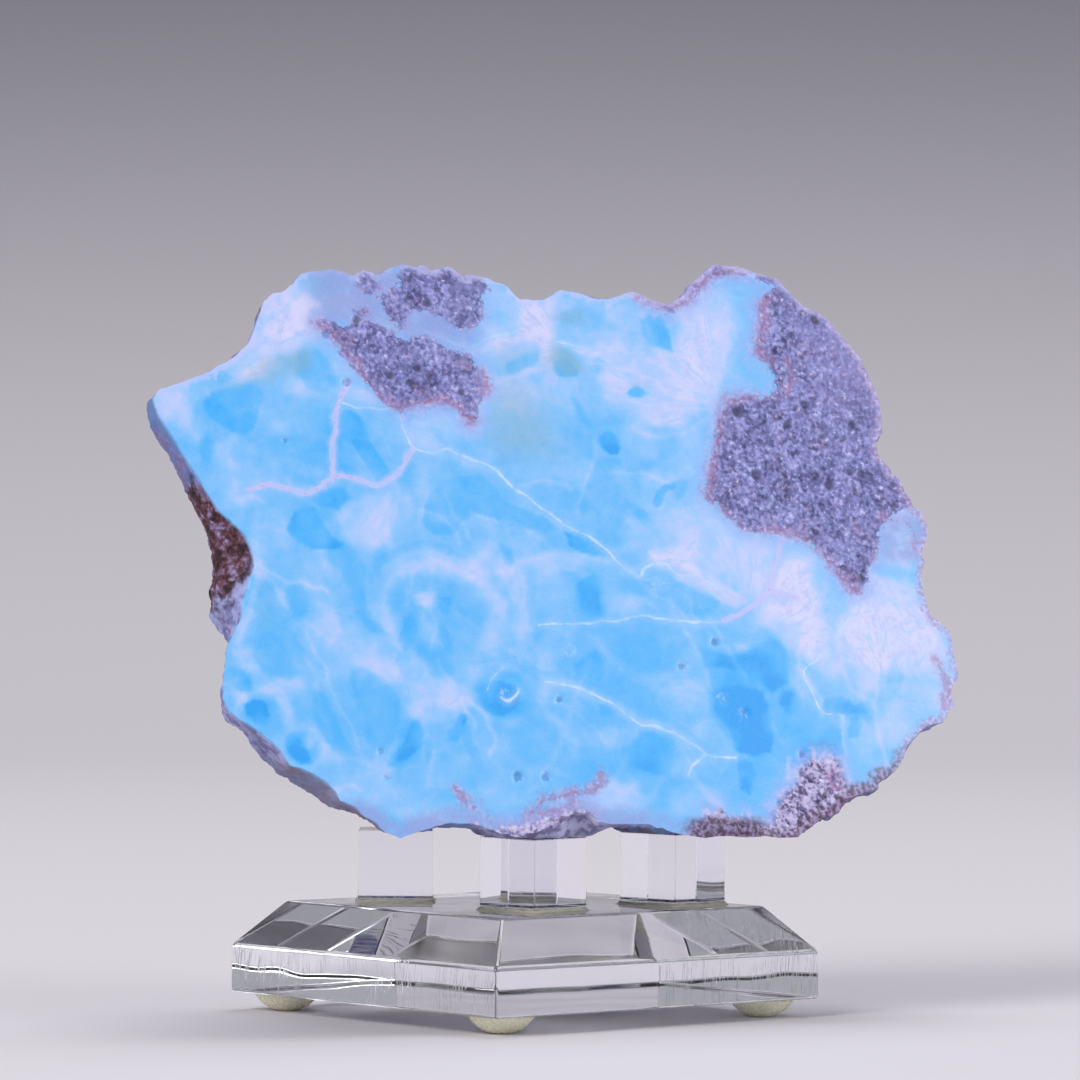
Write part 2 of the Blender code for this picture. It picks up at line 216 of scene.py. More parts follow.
# Posts
# Four square rods of the same acrylic, sawn to about 8 mm and glued upright, one
# near each side of the base. The stone's underside lies on their tops.
POST_SIDE = 0.0091
POST_SINK = 0.00025
POST_TURNS = {"post_front": 46.6, "post_right": 46.5, "post_back": 2.0, "post_left": 1.0}
base_top = base_high[2]
post_acrylic = clear_acrylic("post_acrylic", 0.06, scratches=False)
post_places = {}
for name, turn in POST_TURNS.items():
    low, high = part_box(name)
    middle = Vector(((low[0] + high[0]) / 2, (low[1] + high[1]) / 2, 0))
    post_places[name] = middle
    top = high[2] + POST_SINK
    rod = bmesh.new()
    bmesh.ops.create_cube(rod, size=1.0)
    bmesh.ops.scale(rod, vec=(POST_SIDE, POST_SIDE, top - low[2]), verts=rod.verts)
    rod.transform(Matrix.Translation(middle + Vector((0, 0, (top + low[2]) / 2)))
                  @ Matrix.Rotation(math.radians(turn), 4, "Z"))
    post = piece(f"acrylic_{name}", rod, post_acrylic)
    round_edges(post, 0.00022, 2)
    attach(post, "root")
    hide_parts(name)

# Glue
# Clear cement that has yellowed slightly. It fills the joint under each post and
# stands up round its foot in a small uneven fillet with a few bubbles.
FILLET_RISE = 0.00036
FILLET_RUN = 0.00036
cement, tree, shader = finish("yellowed_cement")
shader.inputs["Base Color"].default_value = paint(250, 245, 222)
shader.inputs["Transmission Weight"].default_value = 0.55
shader.inputs["Roughness"].default_value = 0.3
shader.inputs["IOR"].default_value = 1.46
place = add(tree, "ShaderNodeTexCoord").outputs["Object"]
bubbles = add(tree, "ShaderNodeTexVoronoi", {"Vector": place, "Scale": 1500})
lumps = add(tree, "ShaderNodeBump", {"Height": bubbles.outputs[0], "Strength": 0.4, "Distance": 0.0001})
tree.links.new(lumps.outputs[0], shader.inputs["Normal"])
for name, turn in POST_TURNS.items():
    ring = bmesh.new()
    half = POST_SIDE / 2
    sides = 14
    loops = []
    for out, up in ((-0.0006, 0.00002), (FILLET_RUN, 0.00002), (FILLET_RUN * 0.35, FILLET_RISE * 0.3),
                    (0.00002, FILLET_RISE), (-0.0006, 0.00028)):
        loop = []
        for side in range(4):
            for step in range(sides):
                along = -half + 2 * half * step / sides
                spot = Matrix.Rotation(side * math.pi / 2, 3, "Z") @ Vector((half + out, along * (1 + out / half), 0))
                wobble = 1 + 0.45 * noise.noise((spot + post_places[name]) * 900)
                spot.z = up * (wobble if up > 0.0001 else 1)
                loop.append(ring.verts.new(spot))
        loops.append(loop)
    for inner, outer in zip(loops, loops[1:] + loops[:1]):
        for index in range(len(inner)):
            after = (index + 1) % len(inner)
            ring.faces.new((inner[index], inner[after], outer[after], outer[index]))
    bmesh.ops.recalc_face_normals(ring, faces=ring.faces)
    ring.transform(Matrix.Translation(post_places[name] + Vector((0, 0, base_top)))
                   @ Matrix.Rotation(math.radians(turn), 4, "Z"))
    glue = piece(f"glue_{name}", ring, cement)
    for face in glue.data.polygons:
        face.use_smooth = True
    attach(glue, "root")

# Feet
# Four stick-on domes of clear soft rubber under the base's corners, gone slightly
# yellow. Their tips are pressed flat where they stand.
FOOT_RADIUS = 0.00395
soft_rubber, tree, shader = finish("yellowed_clear_rubber")
shader.inputs["Base Color"].default_value = paint(252, 249, 220)
shader.inputs["Transmission Weight"].default_value = 0.15
shader.inputs["Roughness"].default_value = 0.28
shader.inputs["IOR"].default_value = 1.43
place = add(tree, "ShaderNodeTexCoord").outputs["Object"]
dust = add(tree, "ShaderNodeTexNoise", {"Vector": place, "Scale": 2600, "Detail": 3.0})
haze = add(tree, "ShaderNodeMapRange", {0: dust.outputs[0], 1: 0.4, 2: 0.7, 3: 0.24, 4: 0.32})
tree.links.new(haze.outputs[0], shader.inputs["Roughness"])
for name in ("foot_front", "foot_left", "foot_right", "foot_back"):
    low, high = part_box(name)
    middle = Vector(((low[0] + high[0]) / 2, (low[1] + high[1]) / 2, 0))
    tall = base_low[2] - 0.00002
    dome = bmesh.new()
    profile = [(0.0, tall), (FOOT_RADIUS * 0.985, tall), (FOOT_RADIUS, tall - 0.0002)]
    ball = (FOOT_RADIUS ** 2 + tall ** 2) / (2 * tall)
    for step in range(1, 15):
        spread = FOOT_RADIUS + (0.0012 - FOOT_RADIUS) * step / 14
        drop = math.sqrt(ball ** 2 - spread ** 2) - math.sqrt(ball ** 2 - FOOT_RADIUS ** 2)
        full = math.sqrt(ball ** 2 - 0.0012 ** 2) - math.sqrt(ball ** 2 - FOOT_RADIUS ** 2)
        profile.append((spread, (tall - 0.0002) * (1 - drop / full)))
    profile.append((0.0, 0.0))
    spun = [dome.verts.new((radius, 0, height)) for radius, height in profile]
    edges = [dome.edges.new(pair) for pair in zip(spun, spun[1:])]
    bmesh.ops.spin(dome, geom=spun + edges, cent=(0, 0, 0), axis=(0, 0, 1), angle=2 * math.pi, steps=48)
    bmesh.ops.remove_doubles(dome, verts=dome.verts, dist=0.00001)
    bmesh.ops.recalc_face_normals(dome, faces=dome.faces)
    bmesh.ops.translate(dome, vec=middle, verts=dome.verts)
    foot = piece(f"rubber_{name}", dome, soft_rubber)
    for face in foot.data.polygons:
        face.use_smooth = True
    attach(foot, "root")
    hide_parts(name)

# Stone
# One piece of blue pectolite in its volcanic matrix. The front was sawn and polished
# flat, and every other side is broken rock. It lies loose on the four posts.
STONE_PLACE = base_middle + Vector((0.0035, -0.0086, 0.0550))
STONE_TURN = Euler((math.radians(-19.1), 0, math.radians(24.2)))
SKIN_CUTS = 2
FACE_GRAIN = 0.43

# What the polished face shows, (across, up) in mm from its middle
MATRIX_OUTLINES = [
    [(-26.6, 28.3), (-24.6, 27.8), (-23.1, 27.3), (-21.7, 28.4), (-20.2, 27.9), (-18.6, 26.9),
     (-17, 26.3), (-15.5, 25.9), (-13.5, 26.4), (-11.6, 25.5), (-10.4, 24.5), (-8.9, 24.3),
     (-7.7, 23.5), (-7, 22.5), (-6.7, 21), (-6.3, 19.7), (-7.3, 18.6), (-7.7, 17.5),
     (-7.7, 15.8), (-8.6, 15), (-9.5, 15.5), (-10.4, 17), (-11.4, 17.5), (-12.7, 17.5),
     (-14.2, 17.7), (-16, 17.2), (-18, 16.4), (-19.5, 17.2), (-20.6, 18.2), (-21.3, 19.4),
     (-22.4, 20.9), (-23.5, 22.2), (-24.6, 23.9), (-25.4, 25.2), (-26.3, 26.5), (-27.2, 27.2)],
    [(-15.4, 34.7), (-13.9, 36), (-9.3, 36.4), (-6.4, 34.9), (-4.2, 33.7), (-5, 31.6),
     (-5.9, 30.3), (-5.4, 28.7), (-6.6, 27.7), (-7.9, 27.4), (-9.3, 27.1), (-10.5, 28.1),
     (-11.7, 28.8), (-13.2, 29.3), (-14.8, 29.3), (-16.1, 28.7), (-17.4, 29.2), (-18.6, 30),
     (-19, 31), (-17.6, 31.8), (-16.4, 32.9)],
    [(-22, 33.9), (-20.6, 34.8), (-19, 34.6), (-18.2, 33.1), (-18.8, 32), (-20.2, 31.2),
     (-21.2, 32), (-21.9, 32.7)],
    [(-19, 30.4), (-17, 30.9), (-15.6, 30), (-15.6, 28.2), (-16.4, 26.6), (-17.2, 27.6), (-18.2, 28.9)],
    [(-22.5, 29.4), (-21.2, 29.9), (-20.2, 29.3), (-20.6, 28.6), (-21.9, 28.6)],
    [(36.8, 35), (33.2, 32.7), (31.8, 30.9), (31.9, 28.6), (31, 26.6), (30.5, 25), (31.9, 23.5),
     (32.9, 21.7), (32.7, 19.3), (30.4, 19), (28.4, 19.2), (26.2, 18.7), (25, 17.6), (24.2, 16),
     (23.4, 12.7), (22.6, 10.8), (21.7, 8.8), (20.8, 6), (21.7, 5.3), (22.7, 4.6), (23.7, 3.7),
     (24.8, 2.5), (26.3, 1.8), (30.4, 1.5), (32.4, 1.4), (34.9, -0.5), (36.1, -1.5), (37.5, -4),
     (38.4, -5.3), (39.6, -6.2), (40.8, -5.7), (42.4, -2.3), (44.1, 1.2), (45.2, 2.9),
     (47.4, 4.5), (51.8, 5.2), (49, 13.7), (49.2, 19), (47.2, 28.3), (39.2, 35.1)],
    [(14.2, 33.8), (16.6, 31.6), (17.9, 30.8), (19.6, 30.3), (21.3, 30.9), (22.8, 31.7),
     (24.4, 33.4), (26.3, 34.9), (29.5, 35.5), (32.9, 34.8), (36.1, 33.4), (37, 34.7),
     (33.4, 38), (27.2, 38.2), (23.4, 35.7), (20.2, 32.6), (17.6, 33.6)],
    [(22.5, -38.1), (23.9, -35.7), (23.7, -34.4), (24.9, -33.2), (25.9, -31.9), (26.9, -31.1),
     (28.1, -29.8), (28.8, -28.2), (30.1, -27.6), (31.4, -27.9), (32.9, -27.4), (33.6, -27.9),
     (33.9, -29.5), (34.5, -30.8), (34.6, -32.1), (36.1, -32.5), (37.9, -32.1), (39.3, -31.2),
     (40.6, -32.8), (35.2, -36.5), (30.7, -38.9), (25.3, -39.4)],
    [(12.2, -38), (13.8, -35.9), (14.5, -34.9), (15.7, -33.9), (17.1, -33.7), (17.7, -34.7),
     (18.6, -35.2), (20, -35), (21.3, -35.2), (22.5, -35.8), (23.9, -35.7), (24, -38.8),
     (18.7, -38.9), (13.4, -38.8)],
    [(-21, -35.9), (-19, -35.5), (-17.1, -35.9), (-15.1, -34.9), (-13.3, -35.8), (-10.7, -35.5),
     (-8.7, -35), (-6.7, -34.7), (-4.1, -33.9), (-1.4, -33.3), (-0, -34), (0.5, -34.9),
     (-0.9, -38.3), (-20.1, -38)],
]
RUST_LINES = [
    [(-27.2, 27.7), (-25.3, 25.5), (-23.6, 23.2), (-22.3, 21.4), (-20.9, 19.2), (-19.4, 17.7),
     (-18, 16.9), (-15.9, 17.5), (-13.9, 17.8), (-11.3, 17.8), (-9.9, 16.8), (-8.5, 15.5)],
    [(-6.8, 22), (-6.3, 20.1), (-7, 18.8)],
    [(34, 32.9), (32.5, 30.6), (32.6, 28.7), (31.6, 26.4), (31.3, 24.8), (32.8, 23.8)],
    [(34.8, 24.1), (35, 21.7), (33.8, 19.4)],
    [(32.7, 19.3), (29.1, 19.2), (25.8, 18.4), (24.8, 16.7), (24.5, 14.7), (23.7, 12.8),
     (22.8, 10.5), (22.2, 8.2), (21.3, 6.2), (22.8, 4.8), (24.9, 2.8), (27.7, 1.8), (31.7, 1.4),
     (34.5, -0.3), (36.4, -2.1), (38.3, -5), (39.9, -6.2)],
    [(45, 3.5), (47.2, 3.2), (48.5, 1.9), (48.4, -0.1)],
    [(43.6, -0.1), (42.8, -2)],
    [(-16.9, -30.8), (-16, -32), (-14.7, -33), (-13.8, -33.9), (-13.3, -34.7)],
    [(-8, -34.1), (-5.9, -32.3), (-4.1, -31.8), (-2.3, -31.3), (0.5, -30.9), (1.7, -28.9)],
    [(-6.8, -34), (-4.1, -33.3), (-2, -32.3)],
    [(33.2, -28.9), (31.9, -29.9), (33, -31.4)],
    [(34.8, -32.2), (36.5, -32.6), (38.4, -31.8)],
    [(49.1, -15), (50.1, -17.5), (49.9, -20.8)],
    [(15.7, 32.1), (17.3, 31.3), (19.6, 30.9), (21.9, 31.5), (24.4, 33.6), (26.9, 35.3),
     (30.3, 35.9)],
]
PINK_VEINS = [
    [(-24.3, 20.1), (-25.6, 17.8), (-26.2, 16.4), (-26.7, 14), (-27.2, 12.2), (-27.5, 8.9),
     (-27.8, 7.6)],
    [(-38.9, 6.4), (-36, 6.9), (-33.4, 6.4), (-31.5, 5.9), (-29.3, 7), (-27.8, 7.9), (-25.1, 8),
     (-22.2, 7.1), (-20.2, 8.1), (-18.3, 9.7), (-16.7, 11.9)],
    [(31.2, 1.5), (29.8, -1.4), (28.4, -4), (27.7, -5.8), (25.9, -7.5), (24.1, -8.5), (20.8, -9.8)],
    [(27.7, -5.8), (29.1, -6.5), (31.1, -7)],
]
WHITE_VEINS = [
    [(-18.2, 16), (-17.8, 14.5), (-16.7, 12.1), (-14.2, 11.2), (-12.4, 11.9), (-10.5, 10.8),
     (-7.7, 9.9), (-5.8, 8.4), (-3.7, 6.4), (-1.1, 4.4), (1.6, 2.2), (4.7, 0.7), (6.7, -0.9),
     (8.1, -2.7), (10.3, -4.1), (11.7, -3.1), (14.1, -2.5), (15.4, -3.8), (18.2, -4.4),
     (20.4, -5.3), (21.5, -6.7)],
    [(-3.4, -10.2), (0.2, -10.3), (5.4, -10), (10.4, -9.4), (13.3, -9.7), (18.9, -10),
     (20.8, -9.8)],
    [(-3.8, -17.5), (0.6, -18.3), (4.3, -20.2), (7.3, -22.5), (10.8, -23.4), (14, -25),
     (16.3, -26.7), (19.9, -27.4)],
    [(16.3, -26.7), (14.5, -27.8), (13.4, -29.3)],
    [(40.4, -7), (38.1, -9.5), (35.8, -12), (32.6, -14.9), (30.8, -16.3), (31.5, -18.7),
     (32.4, -21.3), (35.5, -22.1)],
    [(-25.6, 17.4), (-23.1, 16.8), (-19.9, 16.8), (-16.6, 17.2), (-12.7, 17.3)],
    [(-13.4, 26.9), (-11.5, 26), (-9.7, 25.3), (-7.7, 24.9), (-5.6, 25.9), (-2.9, 26.7),
     (-0.1, 27.5)],
    [(3.7, 25.9), (6.3, 25.5), (8.4, 24.6), (10.7, 23.3)],
    [(-11.5, -18.5), (-10.2, -16.5), (-8.8, -15.8)],
    [(-9.7, -19.4), (-9, -20), (-7.8, -19.4), (-7.2, -18.5)],
]
VEILS = [
    (0.22, 0.35, [(-38.1, -3), (-37, -5.8), (-35.3, -8.7), (-33.3, -11.9), (-32.1, -14.9),
     (-31.4, -18.4), (-30.1, -21.6), (-28.8, -25.2)]),
    (0.3, 0.5, [(-38.1, -2.7), (-37, -4.1), (-34.8, -5), (-32.1, -5.6), (-30.2, -6.1)]),
    (0.6, 0.5, [(-38.1, -2.7), (-39.5, -6.1), (-40.4, -9.2), (-41.6, -11.7), (-42.7, -13.7)]),
    (0.25, 0.35, [(-16.5, 3.8), (-14.6, 3), (-13.3, 1.3), (-12.5, -0.4)]),
    (0.25, 0.3, [(-13.3, 5.3), (-12.5, 3.7), (-11.4, 2), (-11.1, 0.3)]),
    (0.3, 0.3, [(-10.4, 3.8), (-7.9, 2.7), (-4.3, 2), (-1.3, 0.3)]),
    (0.8, 0.2, [(-25, -9.5), (-25, -6.7), (-23.8, -3.8), (-21.2, -1.9), (-18.4, -1), (-15.2, -1),
     (-12.2, -2), (-10.1, -3.8), (-9.1, -6.3)]),
    (0.4, 0.2, [(-23.1, -8.8), (-23.1, -6.5), (-21.8, -4.5), (-19.6, -3), (-16.7, -2.5),
     (-13.9, -3), (-11.7, -4.3)]),
    (0.6, 0.4, [(-5.5, -2.5), (-5.2, -6), (-4.9, -9.5), (-4.6, -12.9), (-4.2, -15.8),
     (-3.9, -18.3), (-3.8, -20.4)]),
    (0.6, 0.4, [(-7.7, -3.8), (-3.6, -2.2), (0.5, -1.3), (4.3, -1.8), (7.4, -2.6), (9.7, -3.6)]),
    (0.7, 0.5, [(-3.8, -17.3), (-0.4, -18.1), (2.1, -19.1), (4.9, -20.6), (8, -22.2),
     (10.7, -23.3)]),
    (0.5, 0.35, [(-4.8, -19.8), (-3.5, -21.8), (-2, -23.8), (-0.9, -25.4)]),
    (0.3, 0.3, [(-2.7, -20), (-0.4, -21.3), (1.5, -23.1), (3.1, -25.1)]),
    (0.35, 0.35, [(13.9, -7.2), (15.1, -9.8), (16.1, -12.3), (17.3, -15.1), (17.8, -18.7)]),
    (0.3, 0.35, [(18.1, -7.8), (19.4, -10), (20.6, -12.6), (22, -15.6), (23.4, -18.9)]),
    (0.3, 0.35, [(10.3, -5), (12.3, -6.5), (14.4, -7.8), (16, -9.5)]),
    (0.35, 0.4, [(24.3, -18.4), (25.2, -21.2), (25.6, -23.8), (26.6, -25.8)]),
    (0.35, 0.55, [(30.1, -15.9), (31.4, -17.7), (32.2, -19.5), (32.5, -21)]),
    (0.3, 0.4, [(31.2, -12.4), (30.6, -14.3), (30.6, -16.2)]),
    (0.35, 0.5, [(35.9, -11.8), (37.5, -10.3), (39.2, -8.8), (40.8, -7.2)]),
    (0.4, 0.4, [(36.1, -12.4), (36.2, -15.2), (36.8, -18), (38.1, -20)]),
    (0.3, 0.4, [(40.9, -8.2), (40.9, -12.4), (40.8, -16.2), (39.9, -20.3)]),
    (0.3, 0.6, [(35.2, -22.1), (35.1, -25.1), (34.8, -28.3), (35, -30.9)]),
    (0.4, 0.5, [(39.7, -20.1), (39.7, -22.9), (39.9, -25.8), (40.6, -28.7)]),
    (0.25, 1, [(27.2, -27.2), (26.9, -28.3), (26.6, -29.7)]),
    (0.35, 0.55, [(-14.1, -19.7), (-12.7, -21.1), (-11.7, -22.7), (-11.3, -24.7),
     (-12.1, -26.6)]),
    (0.3, 0.5, [(-14.9, -19.7), (-14.1, -21.4), (-13.6, -23.4)]),
    (0.35, 0.4, [(-33.1, -30.9), (-31.1, -30.1), (-29, -30.5)]),
    (0.9, 0.5, [(3.2, 31.3), (2.7, 27.3), (2, 23.2)]),
    (0.5, 0.7, [(-7.6, 24.3), (-4.4, 25.3), (-1.2, 26.2), (1.3, 28)]),
    (0.4, 0.45, [(-4.6, 20.7), (-1.6, 21.6), (1.2, 22.4)]),
    (0.3, 0.35, [(4.3, 26), (6.9, 24.8), (9.5, 24.4), (10.9, 23.4)]),
    (0.3, 0.3, [(7.6, 13.2), (6.4, 10.3), (4.8, 7), (2.9, 3.7)]),
    (0.3, 0.4, [(8.9, 9.3), (12.6, 8.9), (16.2, 7.9)]),
    (0.3, 0.35, [(-3.6, 7.4), (0.4, 7.7), (3.2, 6.7)]),
    (0.3, 0.4, [(-39.9, 5.1), (-38.3, 5.8), (-37.2, 4.6)]),
    (0.3, 0.3, [(-20.7, -7.8), (-19.3, -4.8), (-18, -3)]),
    (0.25, 0.3, [(-17.1, -5.8), (-16.5, -3.5), (-16.6, -1.8)]),
    (0.25, 0.3, [(-15.6, -8), (-13.4, -9.3), (-11.6, -11)]),
    (0.25, 0.3, [(-17, -8.8), (-17.1, -11.3), (-18.1, -13.5)]),
    (0.3, 0.35, [(-17.5, -14.7), (-16.7, -16.5), (-15.7, -17.7)]),
    (0.5, 0.3, [(15.9, 31.6), (17, 25), (20.9, 19.2)]),
    (0.5, 0.4, [(23.7, 18.1), (21.6, 23.8), (21.2, 30.4)]),
    (0.4, 0.3, [(24, 18.6), (18.6, 22.2), (13.3, 24.7), (9.6, 25.4)]),
    (0.4, 0.4, [(24, 18.1), (18.5, 19.6), (13.2, 22.1), (8.7, 22.8)]),
    (0.35, 0.3, [(24.2, 17.6), (19.3, 17.5), (14, 18.2), (9.4, 18.6)]),
    (0.35, 0.3, [(24.1, 17.1), (20.2, 14.7), (16, 13.8), (12.1, 14.5)]),
    (0.35, 0.25, [(24.4, 19.2), (26.2, 23.9), (27.4, 27.9), (27.7, 31.9)]),
    (0.3, 0.25, [(23.8, 18.9), (23.7, 25.2), (23.9, 30.4)]),
    (0.4, 0.3, [(-3.9, -27.2), (-0.2, -19.8), (2.7, -14.8)]),
    (0.4, 0.35, [(13.8, -27.4), (14.8, -31.2), (17.2, -33.2)]),
    (0.4, 0.3, [(7.9, -22.4), (4.4, -28.6), (1.3, -31.6)]),
    (0.4, 0.35, [(-21.1, -30.7), (-19.7, -27.3), (-19.6, -24.6)]),
    (0.4, 0.35, [(15.1, 25.7), (13.6, 23.4), (14.4, 21.1)]),
    (0.3, 0.25, [(-37.5, -3.8), (-35.9, -7.3), (-33.5, -10), (-30.7, -12.2), (-28, -13.2)]),
    (0.3, 0.22, [(-34.5, -12.2), (-33.4, -15.7), (-33.2, -19.6), (-32.2, -23.8)]),
]
